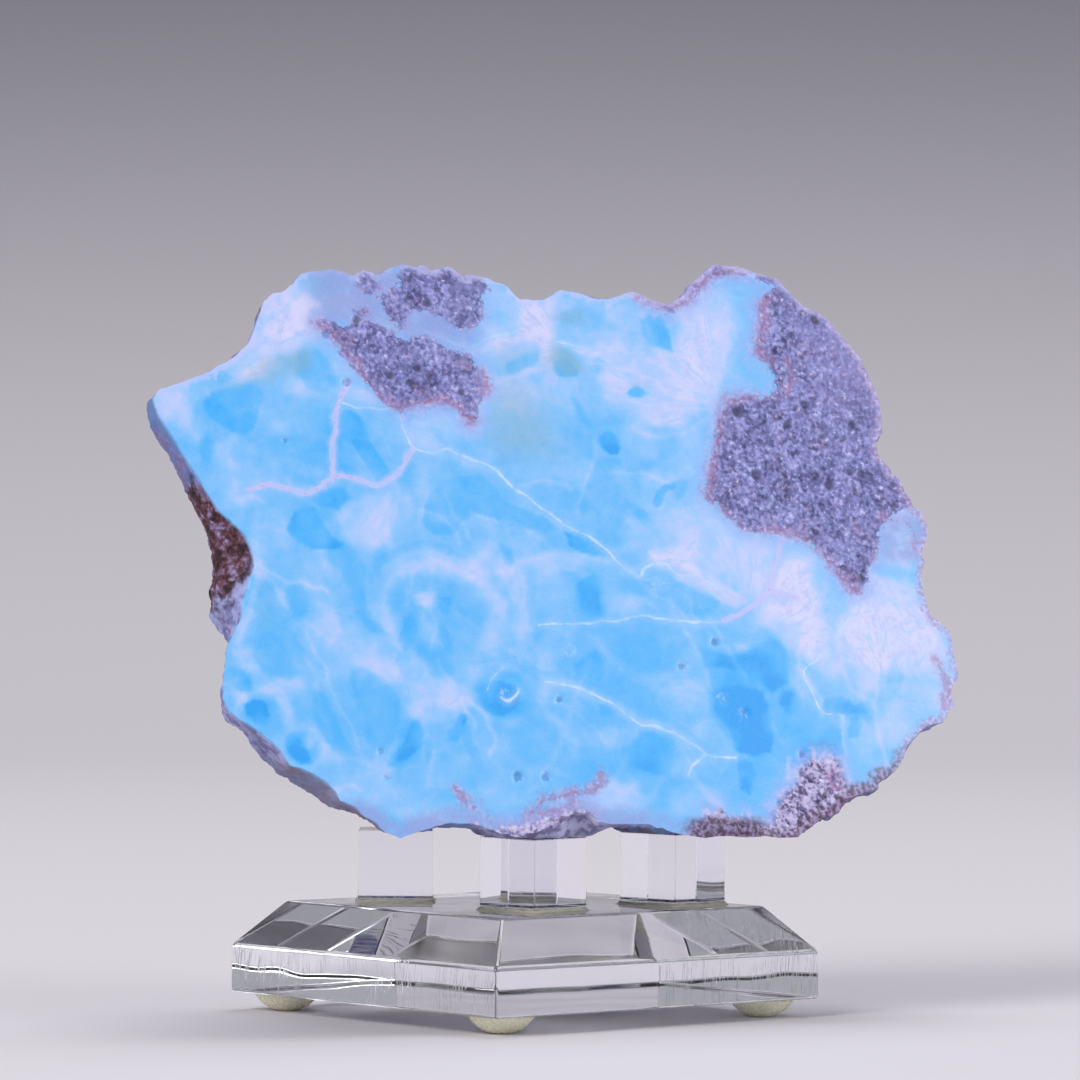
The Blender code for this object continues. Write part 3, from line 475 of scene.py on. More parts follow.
TONES = [
    (-47.3, 17.2, 2.8, 2.5, 0, -0.9), (-35.3, 24, 5.1, 3.1, 28, -1.2),
    (-31.3, 29.4, 3.1, 4.6, 12, -1.5), (-27.8, 28.5, 1.8, 2.6, 0, -1.4),
    (-36.7, 21.2, 3.8, 1.0, 25, -0.8), (-24.3, 31.6, 3.4, 2.8, 0, -0.5),
    (-18.7, 32.8, 1.8, 2.4, 0, -0.5), (-32.5, 20.2, 3.1, 1.5, -20, -0.55),
    (-28.2, 19.2, 2.8, 1.2, -8, -0.6), (-23.2, 18.2, 2.3, 1.3, -5, -0.8),
    (-39.2, 10.7, 3.2, 3.0, 0, -0.35), (-38.9, 6.8, 4.3, 1.5, 0, -0.6),
    (-32.7, 6.5, 2.0, 1.0, 0, -0.6), (-36.3, 1.4, 2.8, 3.0, 0, -0.4),
    (-38.9, -2.4, 1.1, 2.7, 0, -0.7), (-24.1, 3.7, 3.1, 2.8, 0, -0.45),
    (-24, 8.2, 2.1, 1.0, -10, -0.6), (-15.3, 13.1, 2.1, 2.1, 0, -0.8),
    (-11.4, 15, 2.9, 1.8, 0, -0.7), (-8.4, 16.3, 1.3, 1.8, 0, -0.9),
    (-16.9, 7.5, 1.8, 2.3, 0, -0.6), (-9.8, 9.8, 3.4, 0.9, -15, -0.5),
    (0.8, 29.1, 2.0, 3.4, 0, -1.6), (2.1, 24.5, 1.3, 3.9, 0, -0.9),
    (-3.1, 25.9, 3.5, 3.4, 0, -0.9), (-3, 19.2, 4.5, 2.4, 0, -0.8),
    (-2.2, 15.6, 4.8, 3.9, 0, -0.5), (5.5, 28.7, 5.3, 1.8, 0, -0.6),
    (9.7, 26.2, 4.6, 2.1, 0, -0.6), (19.7, 20.5, 7.0, 5.8, 10, -1.1),
    (23.2, 25.7, 4.7, 4.5, 0, -0.6), (11.3, 20.2, 2.4, 1.6, -20, -1.1),
    (16.2, 16.7, 3.5, 1.0, -10, -0.5), (20.5, 16.6, 2.7, 3.2, 0, -0.6),
    (20.2, 11.4, 2.4, 3.2, 0, -0.5), (19.4, 0.4, 4.9, 4.9, 8, -1.1),
    (17.7, -1.6, 2.2, 2.1, 0, -0.5), (28.1, -2.9, 5.7, 3.4, 0, -1.2),
    (32, -7.2, 2.7, 4.4, 10, -1.7), (24, -6.2, 3.5, 1.6, 10, -0.5),
    (13.6, -2.2, 3.0, 1.5, 0, -0.8), (42.9, -11.3, 7.7, 5.2, 0, -1.65),
    (38.3, -13.9, 2.5, 5.3, 0, -0.4), (44.4, -20.3, 6.1, 2.8, 0, -0.75),
    (42, -24.7, 3.0, 2.1, 0, -1), (50, -17.5, 2.0, 5.7, 0, -0.6),
    (33.6, -14.1, 1.7, 3.4, 0, -1.1), (40.8, -8.8, 1.9, 2.6, 0, -0.4),
    (-16.1, -2.4, 5.7, 1.3, 0, -0.25), (-9.2, -4.8, 2.1, 4.1, 15, -0.3),
    (-6.2, -7.3, 2.7, 5.6, 8, -0.4), (-4.4, -14.3, 1.6, 5.6, 10, -0.15),
    (-2.6, -18.8, 3.4, 1.5, -15, -0.2), (3.3, -19.8, 4.2, 1.1, -22, -0.3),
    (-0.9, -6, 3.2, 2.8, 0, -0.35), (0.3, -2.2, 5.8, 1.0, 0, -0.5),
    (-29.2, -12.2, 4.5, 2.7, 0, -0.6), (-24.1, -14.4, 3.8, 1.2, -15, -0.3),
    (-17, -18.7, 3.1, 2.3, 0, -0.9), (-19.5, -21.7, 3.3, 1.7, 0, -0.5),
    (-13.6, -23.4, 2.0, 2.7, 0, -0.4), (-17.3, -7.2, 1.4, 1.3, 0, -1.1),
    (-18.1, -11, 1.0, 2.3, 0, -0.4), (-37.8, -18.3, 3.0, 1.1, 0, -0.8),
    (-37.4, -21.3, 1.1, 1.7, 0, -0.5), (-43.6, -18.8, 1.2, 2.4, 0, -0.6),
    (-34.7, -24.2, 1.0, 1.1, 0, -0.6), (-28, -30.6, 5.2, 2.4, 0, -0.5),
    (-22.1, -33.7, 4.5, 1.2, 0, -0.65), (-7.7, -31.1, 5.2, 1.5, 0, -0.3),
    (2.8, -32.2, 3.9, 2.0, 0, -0.8), (13.1, -32.4, 2.6, 2.3, 0, -0.5),
    (16.5, -32.4, 1.4, 1.3, 0, -0.7), (15.1, -19.1, 2.1, 1.8, 0, -0.3),
    (3.2, -24.3, 3.6, 1.5, 0, -0.3), (8.6, -7.5, 2.4, 1.5, 0, -0.6),
    (23.8, -13.1, 1.3, 0.6, -20, -0.8), (27.8, -8.3, 1.9, 2.6, 20, -0.6),
    (30, -18.2, 1.6, 2.3, 0, -0.4), (11.3, 0.4, 3.0, 1.8, 0, -0.4),
    (15.9, 8.8, 3.0, 1.1, 0, -0.4), (47.4, -0.1, 3.1, 3.0, 0, -0.9),
    (45.1, -5.3, 4.1, 1.6, 0, -1), (18.9, -7.2, 1.9, 1.3, 0, -0.2),
    (-29.4, -2.3, 1.3, 3.0, 20, -0.3), (-9.2, -14.1, 2.6, 1.2, 0, -0.4),
    (12.4, -6, 1.6, 1.0, -20, -0.2), (-45.6, 15, 2.5, 2.0, 0, -0.6),
    (-37.3, 15.7, 1.8, 1.5, 0, -0.4), (-30.3, 8.7, 3.1, 1.0, 0, -0.5),
    (-23.9, 10.9, 1.6, 1.3, 0, -0.5), (-23.6, 1.2, 4.3, 2.0, 35, -0.45),
    (-20.2, 4.6, 1.8, 2.8, 0, -0.45), (-12.7, 2.8, 3.9, 1.1, 0, -0.2),
    (-6.8, 2.8, 2.9, 1.5, 0, -0.2), (4.7, 19, 3.8, 3.2, 0, -0.7), (10.4, 23.3, 3.5, 2.7, 0, -0.6),
    (13.9, 13.3, 2.7, 2.4, 0, -0.8), (2, 9.3, 4.0, 2.3, 0, -0.4), (8.4, 8.1, 3.4, 1.8, 0, -0.3),
    (25, 30.2, 3.9, 3.5, 0, -0.95), (24.9, 25.9, 2.5, 2.1, 0, -0.5),
    (11.7, 30.2, 2.2, 1.3, 0, -0.6), (5.1, 31.3, 1.9, 1.1, 0, -0.7),
    (-3.5, 31.4, 2.4, 1.6, 0, -0.8), (-5.5, 26.5, 2.1, 2.6, 0, -0.5),
    (40.6, -3.6, 1.9, 1.3, 0, -0.5), (38.6, -17.5, 1.7, 1.8, 0, -0.45),
    (45.2, 6.1, 2.2, 2.9, 0, -0.6), (39.9, 5.1, 1.4, 2.1, 0, -0.3),
    (-30.6, -6.1, 1.8, 4.2, 0, -0.35), (-19.7, -15.7, 4.4, 1.5, 10, -0.35),
    (-34.8, -14.7, 1.2, 1.7, 0, -0.4), (-39, -18.1, 2.2, 1.0, 0, -0.2),
    (-33.8, -26.3, 3.3, 1.5, 0, -0.3), (-26.9, -27, 2.3, 1.5, 0, -0.35),
    (-43.4, -24, 1.0, 1.0, 0, -0.4), (-20.4, -30.7, 3.3, 1.2, 0, -0.2),
    (-2.4, -7.3, 2.9, 4.1, 0, -0.45), (-17.2, 27.9, 4.0, 1.8, 15, -0.8),
    (-23.3, 30.4, 1.8, 1.6, 0, -0.6), (-22.6, 26.2, 3.1, 1.0, 10, -0.5),
    (-35.5, 20.4, 4.3, 1.0, -5, 0.4), (-43.5, 12, 1.1, 1.5, 0, 0.5),
    (-30.5, 1.2, 2.0, 1.0, 0, 0.2), (-38.5, -6.1, 0.8, 2.0, 0, 0.5),
    (-4.3, -11.7, 1.0, 3.0, -15, 0.5), (-8.6, -5.5, 1.8, 1.5, 0, 0.5),
    (-8.1, -20.2, 4.4, 1.7, 0, 0.35), (3.2, -18.6, 4.0, 3.3, 0, 0.4),
    (21.3, -20.6, 3.2, 4.9, 0, 0.6), (22.5, -27.5, 2.7, 2.8, 0, 0.6),
    (28.4, -23.8, 2.2, 3.8, 0, 0.35), (31.3, -27, 3.2, 2.1, 0, 0.7),
    (31.3, -1.6, 2.2, 1.5, 0, 0.5), (8.7, 28.5, 4.1, 1.3, 0, 0.3), (21.9, 17, 1.6, 2.4, 0, 0.5),
    (13.9, -0.2, 3.5, 1.8, 0, 0.25), (9.2, -14.2, 4.2, 3.3, 0, 0.15),
    (8.9, -29.2, 3.9, 1.8, 0, 0.4), (4.9, -7.3, 1.6, 3.1, 0, 0.2),
    (-6.4, -30.9, 3.1, 1.0, 0, 0.3), (1.4, -22.3, 3.1, 1.8, 0, 0.25),
    (40.3, -22.1, 3.0, 2.1, 0, 0.35), (25.2, 34.4, 2.2, 1.3, 0, -0.4),
    (-25.4, -15.7, 4.6, 1.3, 5, -0.5), (-20.8, 0.2, 1.8, 1.3, 0, -0.4),
    (-40.8, -14.9, 2.8, 1.5, 0, -0.4), (-40.5, -22.2, 1.5, 1.5, 0, -0.2),
    (-18.2, -14.2, 3.8, 1.0, -15, 0.45), (-12.9, -22.2, 1.8, 2.0, 0, 0.6),
    (-7.8, -22.5, 2.8, 1.8, 0, 0.5), (16.4, -23.4, 2.9, 2.5, 0, 0.5),
    (9.4, -21.4, 5.3, 1.8, -10, 0.35), (1.8, -28.3, 3.1, 2.0, 0, 0.4),
    (-3.1, -7.9, 3.9, 3.3, 0, 0.35), (22, 17.5, 1.9, 2.4, 0, 0.5), (20, 15.3, 1.3, 1.1, 0, 0.4),
    (45.6, 5.8, 2.2, 2.6, 0, -0.45), (40.9, -3.3, 1.7, 1.6, 0, -0.5),
    (37.3, -25.4, 1.6, 2.8, 0, -0.5), (-3.5, 27, 1.9, 1.8, 0, 0.4), (9, 2.9, 2.9, 1.8, 0, -0.5),
    (17.2, -7, 3.2, 1.3, -15, -0.45), (24.8, -9.8, 2.2, 1.5, 0, -0.4),
    (-24.1, -24.6, 3.3, 4.2, 0, -0.3), (-5.7, -12.3, 1.0, 2.0, 0, -0.4),
    (14.2, 29.2, 1.9, 1.9, 0, -0.5), (-15, 31.1, 1.3, 1.6, 0, -0.5),
    (-42.1, -12.8, 1.2, 1.2, 0, 0.1), (1.7, -6.6, 1.9, 2.6, 0, 0.3),
    (19.8, -31.9, 2.7, 1.5, 0, 0.3), (-24.5, 21.4, 1.6, 1.6, 0, -0.4),
    (0.7, 0.3, 3.1, 1.0, 0, -0.2), (11.5, -7.2, 2.7, 1.0, 0, 0.1),
    (-27.6, 12.1, 1.3, 2.0, 0, 0.3), (13.2, -3.4, 1.6, 1.0, 0, 0.3),
    (-39.6, -7.9, 1.0, 1.7, 0, 0.1), (-43.5, 12, 1.2, 1.8, 0, 0.4),
    (43.4, -20.1, 4.1, 1.0, 0, 0.25), (-22.4, -24.3, 1.5, 3.5, -10, 0.8),
    (-34.1, -20.2, 1.2, 3.1, 0, 0.5), (-17.9, -15.2, 3.3, 1.0, -15, 0.45),
    (-23.7, -26.5, 2.0, 1.2, 0, 0.4), (-14.7, 2.8, 2.6, 1.5, 0, -0.3),
    (-12.8, -4.3, 3.3, 1.3, -20, -0.35), (-8.3, -7.9, 1.0, 3.0, 0, -0.4),
    (-16, -12, 3.9, 1.5, 0, -0.3), (-22.9, -1.1, 2.9, 1.8, 30, -0.25),
    (-40.8, -14.9, 2.0, 1.2, 0, -0.3), (-5.4, 23, 1.9, 1.3, 0, -0.4),
    (-0.8, 21.8, 1.6, 1.0, 0, -0.4), (10.5, 17.4, 2.4, 1.8, 0, -0.3),
    (16.5, 6.1, 1.6, 2.1, 0, -0.5), (13.5, 1.7, 1.9, 2.6, 0, -0.2),
    (46.3, 5.8, 2.8, 3.2, 0, -0.4), (37.8, 3.1, 1.4, 2.6, 0, -0.4),
    (40.9, -3.1, 1.7, 1.6, 0, -0.4), (35.9, -6.6, 1.7, 1.6, 0, -0.5),
    (22.2, -4.2, 1.6, 1.3, 0, -0.5), (32, -27.1, 2.4, 1.5, 0, 0.6), (-18.5, 8, 1.8, 2.1, 0, 0.4),
    (-26, 4.8, 1.8, 1.3, 0, 0.4), (-26.9, 12.7, 1.0, 3.9, 0, 0.3),
    (-3.8, -12.9, 1.6, 1.8, 0, 0.4), (14.7, -30.5, 3.4, 2.0, 0, 0.4),
    (1.6, -29.8, 3.4, 1.7, 0, 0.35), (-6.1, -34, 2.6, 1.2, 0, 0.4),
    (13.9, -35.5, 2.6, 1.3, 0, 0.3), (-39.6, 20.4, 2.0, 1.0, 0, 0.4),
    (-39, -18.6, 1.8, 1.0, 0, 0.5), (-16.8, -15.2, 2.3, 1.0, 0, 0.4),
    (-6.6, 4.7, 2.1, 1.5, 0, -0.3), (-5.6, 0.3, 2.1, 1.5, 0, -0.3),
    (-12.5, 4.7, 2.6, 1.8, 0, -0.2), (-7.7, 11.1, 2.1, 1.3, 0, -0.35),
    (45.8, 7.4, 2.0, 2.1, 0, -0.4), (41.6, -1.4, 1.4, 1.8, 0, -0.4),
    (-25.8, -6, 1.3, 3.0, 0, -0.3), (3.1, -10.4, 2.6, 2.0, 0, 0.3),
    (31.4, -26.6, 2.2, 1.5, 0, 0.5), (-26, -19.6, 2.0, 2.2, 0, -0.2),
    (-6, -19, 1.8, 1.8, 0, -0.3),
]
PANES = [
    (0.9, 0.5, [(-42.8, 17.3), (-41.6, 18.3), (-39.2, 19.4), (-36.6, 19.7), (-35.5, 18.7),
     (-36.3, 16.1), (-36.9, 14.2), (-38.1, 13.5), (-39.6, 13.7), (-41.3, 14.8), (-42.6, 16)]),
    (0.45, 0.5, [(-28.8, 16.8), (-26.7, 17), (-27.3, 13.5), (-28.8, 14)]),
    (0.3, 0.8, [(-35.9, 13.1), (-31.3, 13.2), (-27.5, 12.2), (-27.6, 8.9), (-30, 7.2),
     (-33.1, 6.9), (-34.8, 9.9)]),
    (0.75, 0.4, [(-25.8, 16.3), (-24.2, 16.6), (-23.3, 15.3), (-22.8, 13.3), (-21.6, 11),
     (-20.8, 9.3), (-20.7, 8.3), (-22.3, 7.6), (-23.5, 10), (-24.8, 12), (-26.1, 13.3)]),
    (0.2, 0.5, [(-26.3, 12.2), (-24.6, 11.5), (-22.7, 8), (-25.6, 8), (-27.4, 9.5)]),
    (1.1, 0.35, [(-34.3, 1.4), (-33, 3.6), (-31.9, 4.6), (-30.6, 4.4), (-30.1, 2.7), (-29, 0.9),
     (-27.5, -0.8), (-29.3, -1.3), (-31.5, -0.8), (-33.2, 0.1)]),
    (0.5, 0.8, [(-29.1, 0.2), (-26.7, -0.8), (-25.3, -1.8), (-24.4, -3.1), (-25.4, -4.8),
     (-25.6, -7.8), (-24.6, -10.3), (-23.5, -11.5), (-25.5, -11.3), (-27, -8.8), (-27.3, -5.8),
     (-28.8, -3.3), (-30.4, -1.8)]),
    (0.8, 0.4, [(-31.2, 5.5), (-29.3, 6.5), (-26.5, 7.1), (-25.9, 5.7), (-27.4, 3.9),
     (-29.4, 4.3)]),
    (-0.45, 1.1, [(-27.5, 2.7), (-26, 4.9), (-23.5, 6), (-21.3, 5.2), (-20.6, 3), (-21.4, 0.7),
     (-23.6, -0.8), (-26.2, -0.6), (-27.5, 0.7)]),
    (0.5, 0.7, [(-30.2, 23.8), (-27.6, 24.4), (-25.8, 22.1), (-25.6, 20.1), (-26.8, 18.6),
     (-29.3, 19.3), (-30.8, 21.3)]),
    (0.55, 0.35, [(-17.1, 2.7), (-16.4, 4.9), (-14.9, 6.7), (-13, 7.7), (-10.5, 8.2), (-8.2, 8.4),
     (-7, 7.1), (-6.2, 5.7), (-4, 4.6), (-0.9, 3), (0.9, 1.5), (-1.8, 1.3), (-5.3, 2.3),
     (-7.6, 3.1), (-9.9, 3.6), (-11.9, 2.3), (-13.4, 0.8), (-15.4, 0.7), (-16.6, 1.5)]),
    (0.45, 0.35, [(-11.3, 7.6), (-10, 7.6), (-8.7, 6.4), (-9.6, 5.7), (-11, 6.5)]),
    (1.35, 0.3, [(7.7, 13.7), (8.6, 14.5), (9.6, 14.5), (10.3, 13.5), (10.5, 12.2), (10, 11.3),
     (8.7, 11.4), (7.7, 12.2), (7.3, 13.1)]),
    (0.9, 0.3, [(1.5, 1.6), (3.4, 1), (5.4, -0), (7.1, -1.2), (7.8, -2), (5.7, -1.8), (3.6, -1.2),
     (1.9, -0.5)]),
    (0.5, 0.5, [(4.9, 18.6), (5.9, 18.1), (6.7, 16.3), (7.4, 14.5), (6.2, 14.5), (5.4, 16.3)]),
    (0.3, 0.8, [(7.5, 10.9), (10.2, 10.9), (10.6, 8.1), (9, 4.9), (11.4, 1), (8.6, -0.3),
     (6.1, 1), (3.4, 2.4), (4.7, 6.5), (6.2, 9.3)]),
    (0.45, 0.4, [(3.8, 14.6), (5.4, 14.4), (5.5, 13.4), (4.2, 13.5)]),
    (0.9, 0.35, [(2.9, 23.2), (4, 23.7), (5.3, 23.2), (6.4, 21.7), (5, 21.2), (3.2, 21.4),
     (2.5, 22.2)]),
    (0.5, 0.4, [(-3.4, 23.1), (-1, 23.9), (1.2, 24.5), (1.1, 23.4), (-0.4, 22.4), (-2.4, 21.3),
     (-3.4, 21.8)]),
    (1.2, 0.35, [(12.2, 19.3), (13.1, 19.9), (14.2, 20), (15.2, 19.3), (14, 18.7), (12.7, 18.8)]),
    (0.9, 0.5, [(15.5, 28.7), (17, 29.8), (18.3, 29.5), (19.1, 27.2), (19.3, 24.8), (17.7, 25.3),
     (16.4, 25.5), (15.4, 26.8)]),
    (0.9, 0.3, [(14.1, 5.5), (14.7, 6.8), (15.9, 7.6), (17.4, 8), (17.3, 7.2), (15.9, 6.6),
     (15, 5), (14.1, 4.8)]),
    (0.6, 0.25, [(10.8, 5), (11.6, 5.3), (12.7, 4.2), (12.7, 3.5), (11.8, 3.3), (11, 4)]),
    (0.35, 1.2, [(9.3, 17.9), (12.2, 15.3), (16.2, 15.4), (18.8, 14.6), (19.3, 12.6),
     (16.8, 10.5), (13.5, 9.7), (11.5, 10.9), (10.8, 13.2), (9.7, 15.2)]),
    (0.15, 1, [(-22, -6.3), (-20.3, -4.5), (-16.6, -4), (-12.8, -4.3), (-10.2, -6.3), (-9.8, -9),
     (-11.5, -12.3), (-14.6, -14.3), (-18.2, -13.8), (-21.5, -13.7), (-22.7, -11)]),
    (0.5, 0.5, [(-22.4, -12.5), (-21, -9.8), (-19.9, -9.2), (-19.4, -10.4), (-20, -12.3),
     (-21.5, -13.6)]),
    (0.5, 0.4, [(-15.8, -7), (-14.4, -6.9), (-14.4, -8.8), (-15.5, -9.3), (-16.1, -8.2)]),
    (0.6, 0.4, [(-16.3, -10.3), (-15.5, -11), (-14.9, -12.3), (-15.5, -13.8), (-16.3, -13.3),
     (-16.6, -11.8)]),
    (0.4, 0.4, [(-24.8, -4.1), (-23, -1.8), (-20.5, -0.4), (-16.8, 0.1), (-13.6, -0.6),
     (-11.6, -1.8), (-14, -1.6), (-17, -0.9), (-20.1, -1.3), (-22.3, -2.7), (-24.2, -4.8)]),
    (0.5, 0.6, [(-29.1, -15.7), (-27, -15), (-25.6, -16.2), (-23.5, -17.7), (-22.3, -19.7),
     (-23.1, -22.4), (-24.5, -24.8), (-26.6, -25.8), (-27.7, -24.3), (-27.9, -21.8),
     (-28.8, -18.9)]),
    (0.7, 0.35, [(-21.6, -22.6), (-20.6, -22.3), (-20.2, -24.1), (-21.1, -25.8), (-22.7, -26.7),
     (-24.3, -27.4), (-25.6, -27.5), (-24.4, -26), (-22.9, -24.6)]),
    (1, 0.3, [(-12.8, -18.6), (-11.5, -17.6), (-9.6, -17.3), (-7.9, -18), (-7.2, -19.3),
     (-8, -20.7), (-9.5, -22), (-10.7, -22.1), (-11.8, -21.1)]),
    (0.9, 0.3, [(-17.3, -23.6), (-16.3, -22.9), (-15.1, -21.3), (-14.4, -21.7), (-15, -23.4),
     (-15.7, -24.8), (-17, -24.5)]),
    (0.45, 0.5, [(-33.8, -18.6), (-32.6, -18.9), (-31.4, -21.3), (-30.2, -24.3), (-29.2, -26.3),
     (-31, -26.6), (-32.8, -24.7), (-34, -22)]),
    (1.5, 0.45, [(-42.7, -20.3), (-41.4, -19.5), (-39.9, -19.8), (-39.3, -21.5), (-40, -23),
     (-41.3, -22.5), (-42.4, -21.5)]),
    (1, 0.4, [(-38.2, -23.9), (-36.9, -23.3), (-36, -24), (-35.3, -25.7), (-34.8, -27.5),
     (-36.2, -27.5), (-37.5, -26.5), (-38.1, -25.3)]),
    (0.4, 0.6, [(-38, -8), (-36.6, -8.8), (-34.9, -11.2), (-33, -14.4), (-34.7, -15.7),
     (-36.4, -13.7), (-37.9, -11.7)]),
    (0.4, 0.5, [(-35.7, -5.8), (-33.2, -5.3), (-32.4, -7.3), (-33.4, -9.4), (-34.9, -9.3)]),
    (0.6, 0.4, [(-14.9, -21.9), (-14, -24.4), (-12.9, -26.6), (-13.2, -28.1), (-14.2, -28.1),
     (-14.7, -26.1), (-15.3, -24.1)]),
    (0.5, 0.4, [(-20.4, -24.8), (-19.5, -24.8), (-19.4, -26.6), (-20.4, -27.7)]),
    (0.85, 0.8, [(2, -5.2), (4.9, -3.7), (5.7, -5), (5, -7.3), (5.4, -9.3), (4.1, -10),
     (2.4, -8.8), (1.8, -7.3)]),
    (0.3, 0.8, [(5.8, -4.7), (9, -4.7), (13.2, -5), (18.4, -4.4), (20.5, -6.2), (20.5, -8.3),
     (16.5, -9.5), (13.2, -8.8), (11.6, -6.7), (6.8, -6.5)]),
    (0.75, 0.7, [(17.3, -13), (19.3, -13.9), (21.7, -14.2), (24.8, -13.4), (27.7, -12.1),
     (29.1, -13.9), (28.2, -17.7), (25.8, -19), (23.7, -16.9), (20.6, -15.9), (17.7, -15.9)]),
    (0.95, 0.4, [(18.1, -18.7), (21.4, -18.2), (24.5, -18.7), (25.5, -20.7), (25.6, -24),
     (24.7, -26.3), (22.1, -27), (20.3, -26.5), (19.5, -23.5), (18.3, -20.9)]),
    (-0.4, 0.5, [(11.2, -18.6), (12.9, -17.4), (15.4, -17.1), (17.3, -18.4), (17.9, -20.4),
     (18.9, -24), (19.9, -26.5), (16.9, -26.1), (15.3, -24.7), (13.6, -23.3), (11.2, -21.9),
     (10.4, -20.1)]),
    (0.6, 0.6, [(8.3, -23.9), (10.4, -23.4), (11.8, -24.9), (12, -26.9), (10.9, -29), (9.1, -29),
     (7, -28.6), (5.3, -27.6), (5, -26.1), (6.6, -24.6)]),
    (0.55, 0.6, [(0.3, -15.1), (3.4, -13.6), (4.5, -15.1), (3.6, -17.6), (1.7, -18.1),
     (0.3, -17.1)]),
    (0.25, 0.8, [(6.7, -11), (11.2, -11.3), (12.2, -13.6), (10.9, -16.6), (7.4, -17.1),
     (6.5, -14.2)]),
    (0.5, 0.4, [(3, -20.2), (4.6, -20.1), (4.9, -21.5), (3.2, -21.7)]),
    (0.75, 0.35, [(20.2, -27.1), (22, -27.8), (22.3, -29.5), (21.1, -32), (20, -31.2)]),
    (0.35, 0.3, [(34.8, -7), (36.1, -5.9), (37.7, -5.7), (38.9, -6.8), (37.9, -8.6),
     (36.9, -10.1), (35.9, -11.7), (35.2, -10.3), (34.8, -8.8)]),
    (0.8, 0.3, [(32.6, -20.9), (33.3, -19.8), (35, -19.5), (36.1, -20), (36.8, -20.8),
     (37.8, -20.3), (38.7, -20.6), (38.6, -21.7), (37.1, -21.6), (35.6, -21.6), (34.3, -22.1),
     (33, -21.7)]),
    (0.6, 0.3, [(31.9, -23.6), (33.3, -23.1), (34.5, -23.3), (34.5, -24.8), (33.6, -26.1),
     (32, -26.2), (31.3, -25.1)]),
    (0.6, 0.3, [(35.9, -22.1), (37.2, -21.8), (37.5, -23.1), (36.7, -24.7), (35.5, -24.3)]),
    (0.8, 0.4, [(40.5, -26.6), (42, -26.3), (42.3, -27.5), (40.9, -28.2), (40.2, -27.7)]),
    (0.8, 0.4, [(44.9, -25.5), (46.3, -23.7), (48.3, -23.3), (49.2, -24.1), (47.8, -25.1),
     (45.7, -25.8)]),
    (0.5, 0.7, [(42.5, -15.2), (44, -14.4), (44.7, -17), (43.6, -20.1), (41.9, -18.8)]),
    (0.4, 0.5, [(27.3, -18.2), (28.8, -18.7), (28.2, -20.7), (26.7, -20.5)]),
    (0.4, 0.5, [(27.3, -23), (29, -22.5), (29.3, -24), (27.6, -24.8)]),
    (0.6, 0.5, [(43.5, 0.6), (45.3, 1.6), (46.3, 1.1), (44.7, -0.5), (43.2, -1)]),
    (-0.9, 1.1, [(12.1, -1.4), (15.2, -2), (18.8, -3.4), (22.2, -5.7), (24.7, -7.2), (23.1, -8.5),
     (19.4, -6.7), (15.9, -5), (12.8, -3.2)]),
    (-0.8, 1.3, [(25.1, -8), (28.5, -7), (31.5, -8.5), (33.4, -12.4), (31.8, -15.4),
     (29.6, -13.9), (27.8, -11.6), (25.3, -10)]),
    (0.25, 0.8, [(-22.3, -0.2), (-24.1, -2.3), (-25.7, -5.1), (-26.3, -7.8), (-26.2, -10.5),
     (-24.6, -12.5), (-23.5, -11.8), (-24.8, -9.5), (-24.8, -7), (-24.1, -4.6), (-22.5, -2.3),
     (-21.1, -0.8)]),
    (0.45, 0.5, [(-7.2, 0.3), (-6, -0.7), (-6, -2.5), (-7, -4.3), (-7.7, -3.5), (-7, -2),
     (-7.5, -0.7)]),
    (-0.3, 0.8, [(-17.5, -18.5), (-15.8, -17), (-14.1, -17.7), (-13.3, -19.7), (-14.4, -21.7),
     (-16.3, -21.2), (-17.7, -20.2)]),
    (-0.15, 0.8, [(-13.1, -20), (-11.8, -21.7), (-11.1, -24.4), (-12.1, -27.4), (-12.8, -25.2),
     (-13.4, -22.4)]),
    (0.35, 0.5, [(-22.2, -13.5), (-20.5, -14.2), (-19.2, -16), (-20, -17.7), (-21.6, -16.7),
     (-22.9, -15)]),
    (0.4, 0.4, [(-11.7, -13.5), (-9.3, -13), (-7.4, -14.3), (-6.1, -16), (-7.3, -17.3),
     (-9.5, -16.3), (-11.5, -15.8)]),
    (-0.6, 0.5, [(-36, -24), (-34.9, -23.6), (-34.3, -24.7), (-35.1, -25.7), (-36, -25.3)]),
    (-0.4, 0.7, [(-6.9, -2.2), (-5.9, -3.5), (-5.5, -6), (-6.3, -8), (-7.3, -6), (-8, -4)]),
    (0.7, 0.5, [(-43.9, -15.6), (-42.4, -15.4), (-41.3, -16.9), (-41.5, -18.6), (-42.8, -18.8),
     (-43.9, -17.6)]),
    (-0.3, 0.8, [(-41.9, -18.8), (-40, -18.1), (-37.3, -18.3), (-36.2, -19.6), (-37.5, -20.3),
     (-39.7, -19.6), (-41.4, -19.8)]),
    (0.3, 0.6, [(4.9, 29.7), (8.2, 30.6), (11.1, 29.9), (9.7, 27.5), (6.6, 26.7), (4.3, 27.6)]),
    (0.5, 0.4, [(2.8, 22.9), (4.9, 23.9), (6, 22.7), (6.1, 21.2), (3.9, 21.1), (2.8, 21.9)]),
    (0.35, 0.6, [(8.4, 24.6), (10.1, 24.9), (9.9, 22), (8.5, 21.5)]),
    (0.45, 0.4, [(15, 5.5), (16.5, 6.6), (17.8, 8.2), (19.2, 8.4), (18.4, 6.3), (16.8, 5),
     (15.3, 4)]),
    (0.35, 0.3, [(11, 4), (12, 4.8), (13.2, 4), (13.3, 3), (11.9, 2.7)]),
    (0.3, 0.5, [(19.6, 1.7), (21.6, 2.5), (21.7, -0.1), (20.6, -2.1), (19.4, -1.1)]),
    (0.4, 0.5, [(-40.2, -3.9), (-38.8, -4.3), (-38.6, -6.6), (-39.6, -8.8), (-40.8, -8),
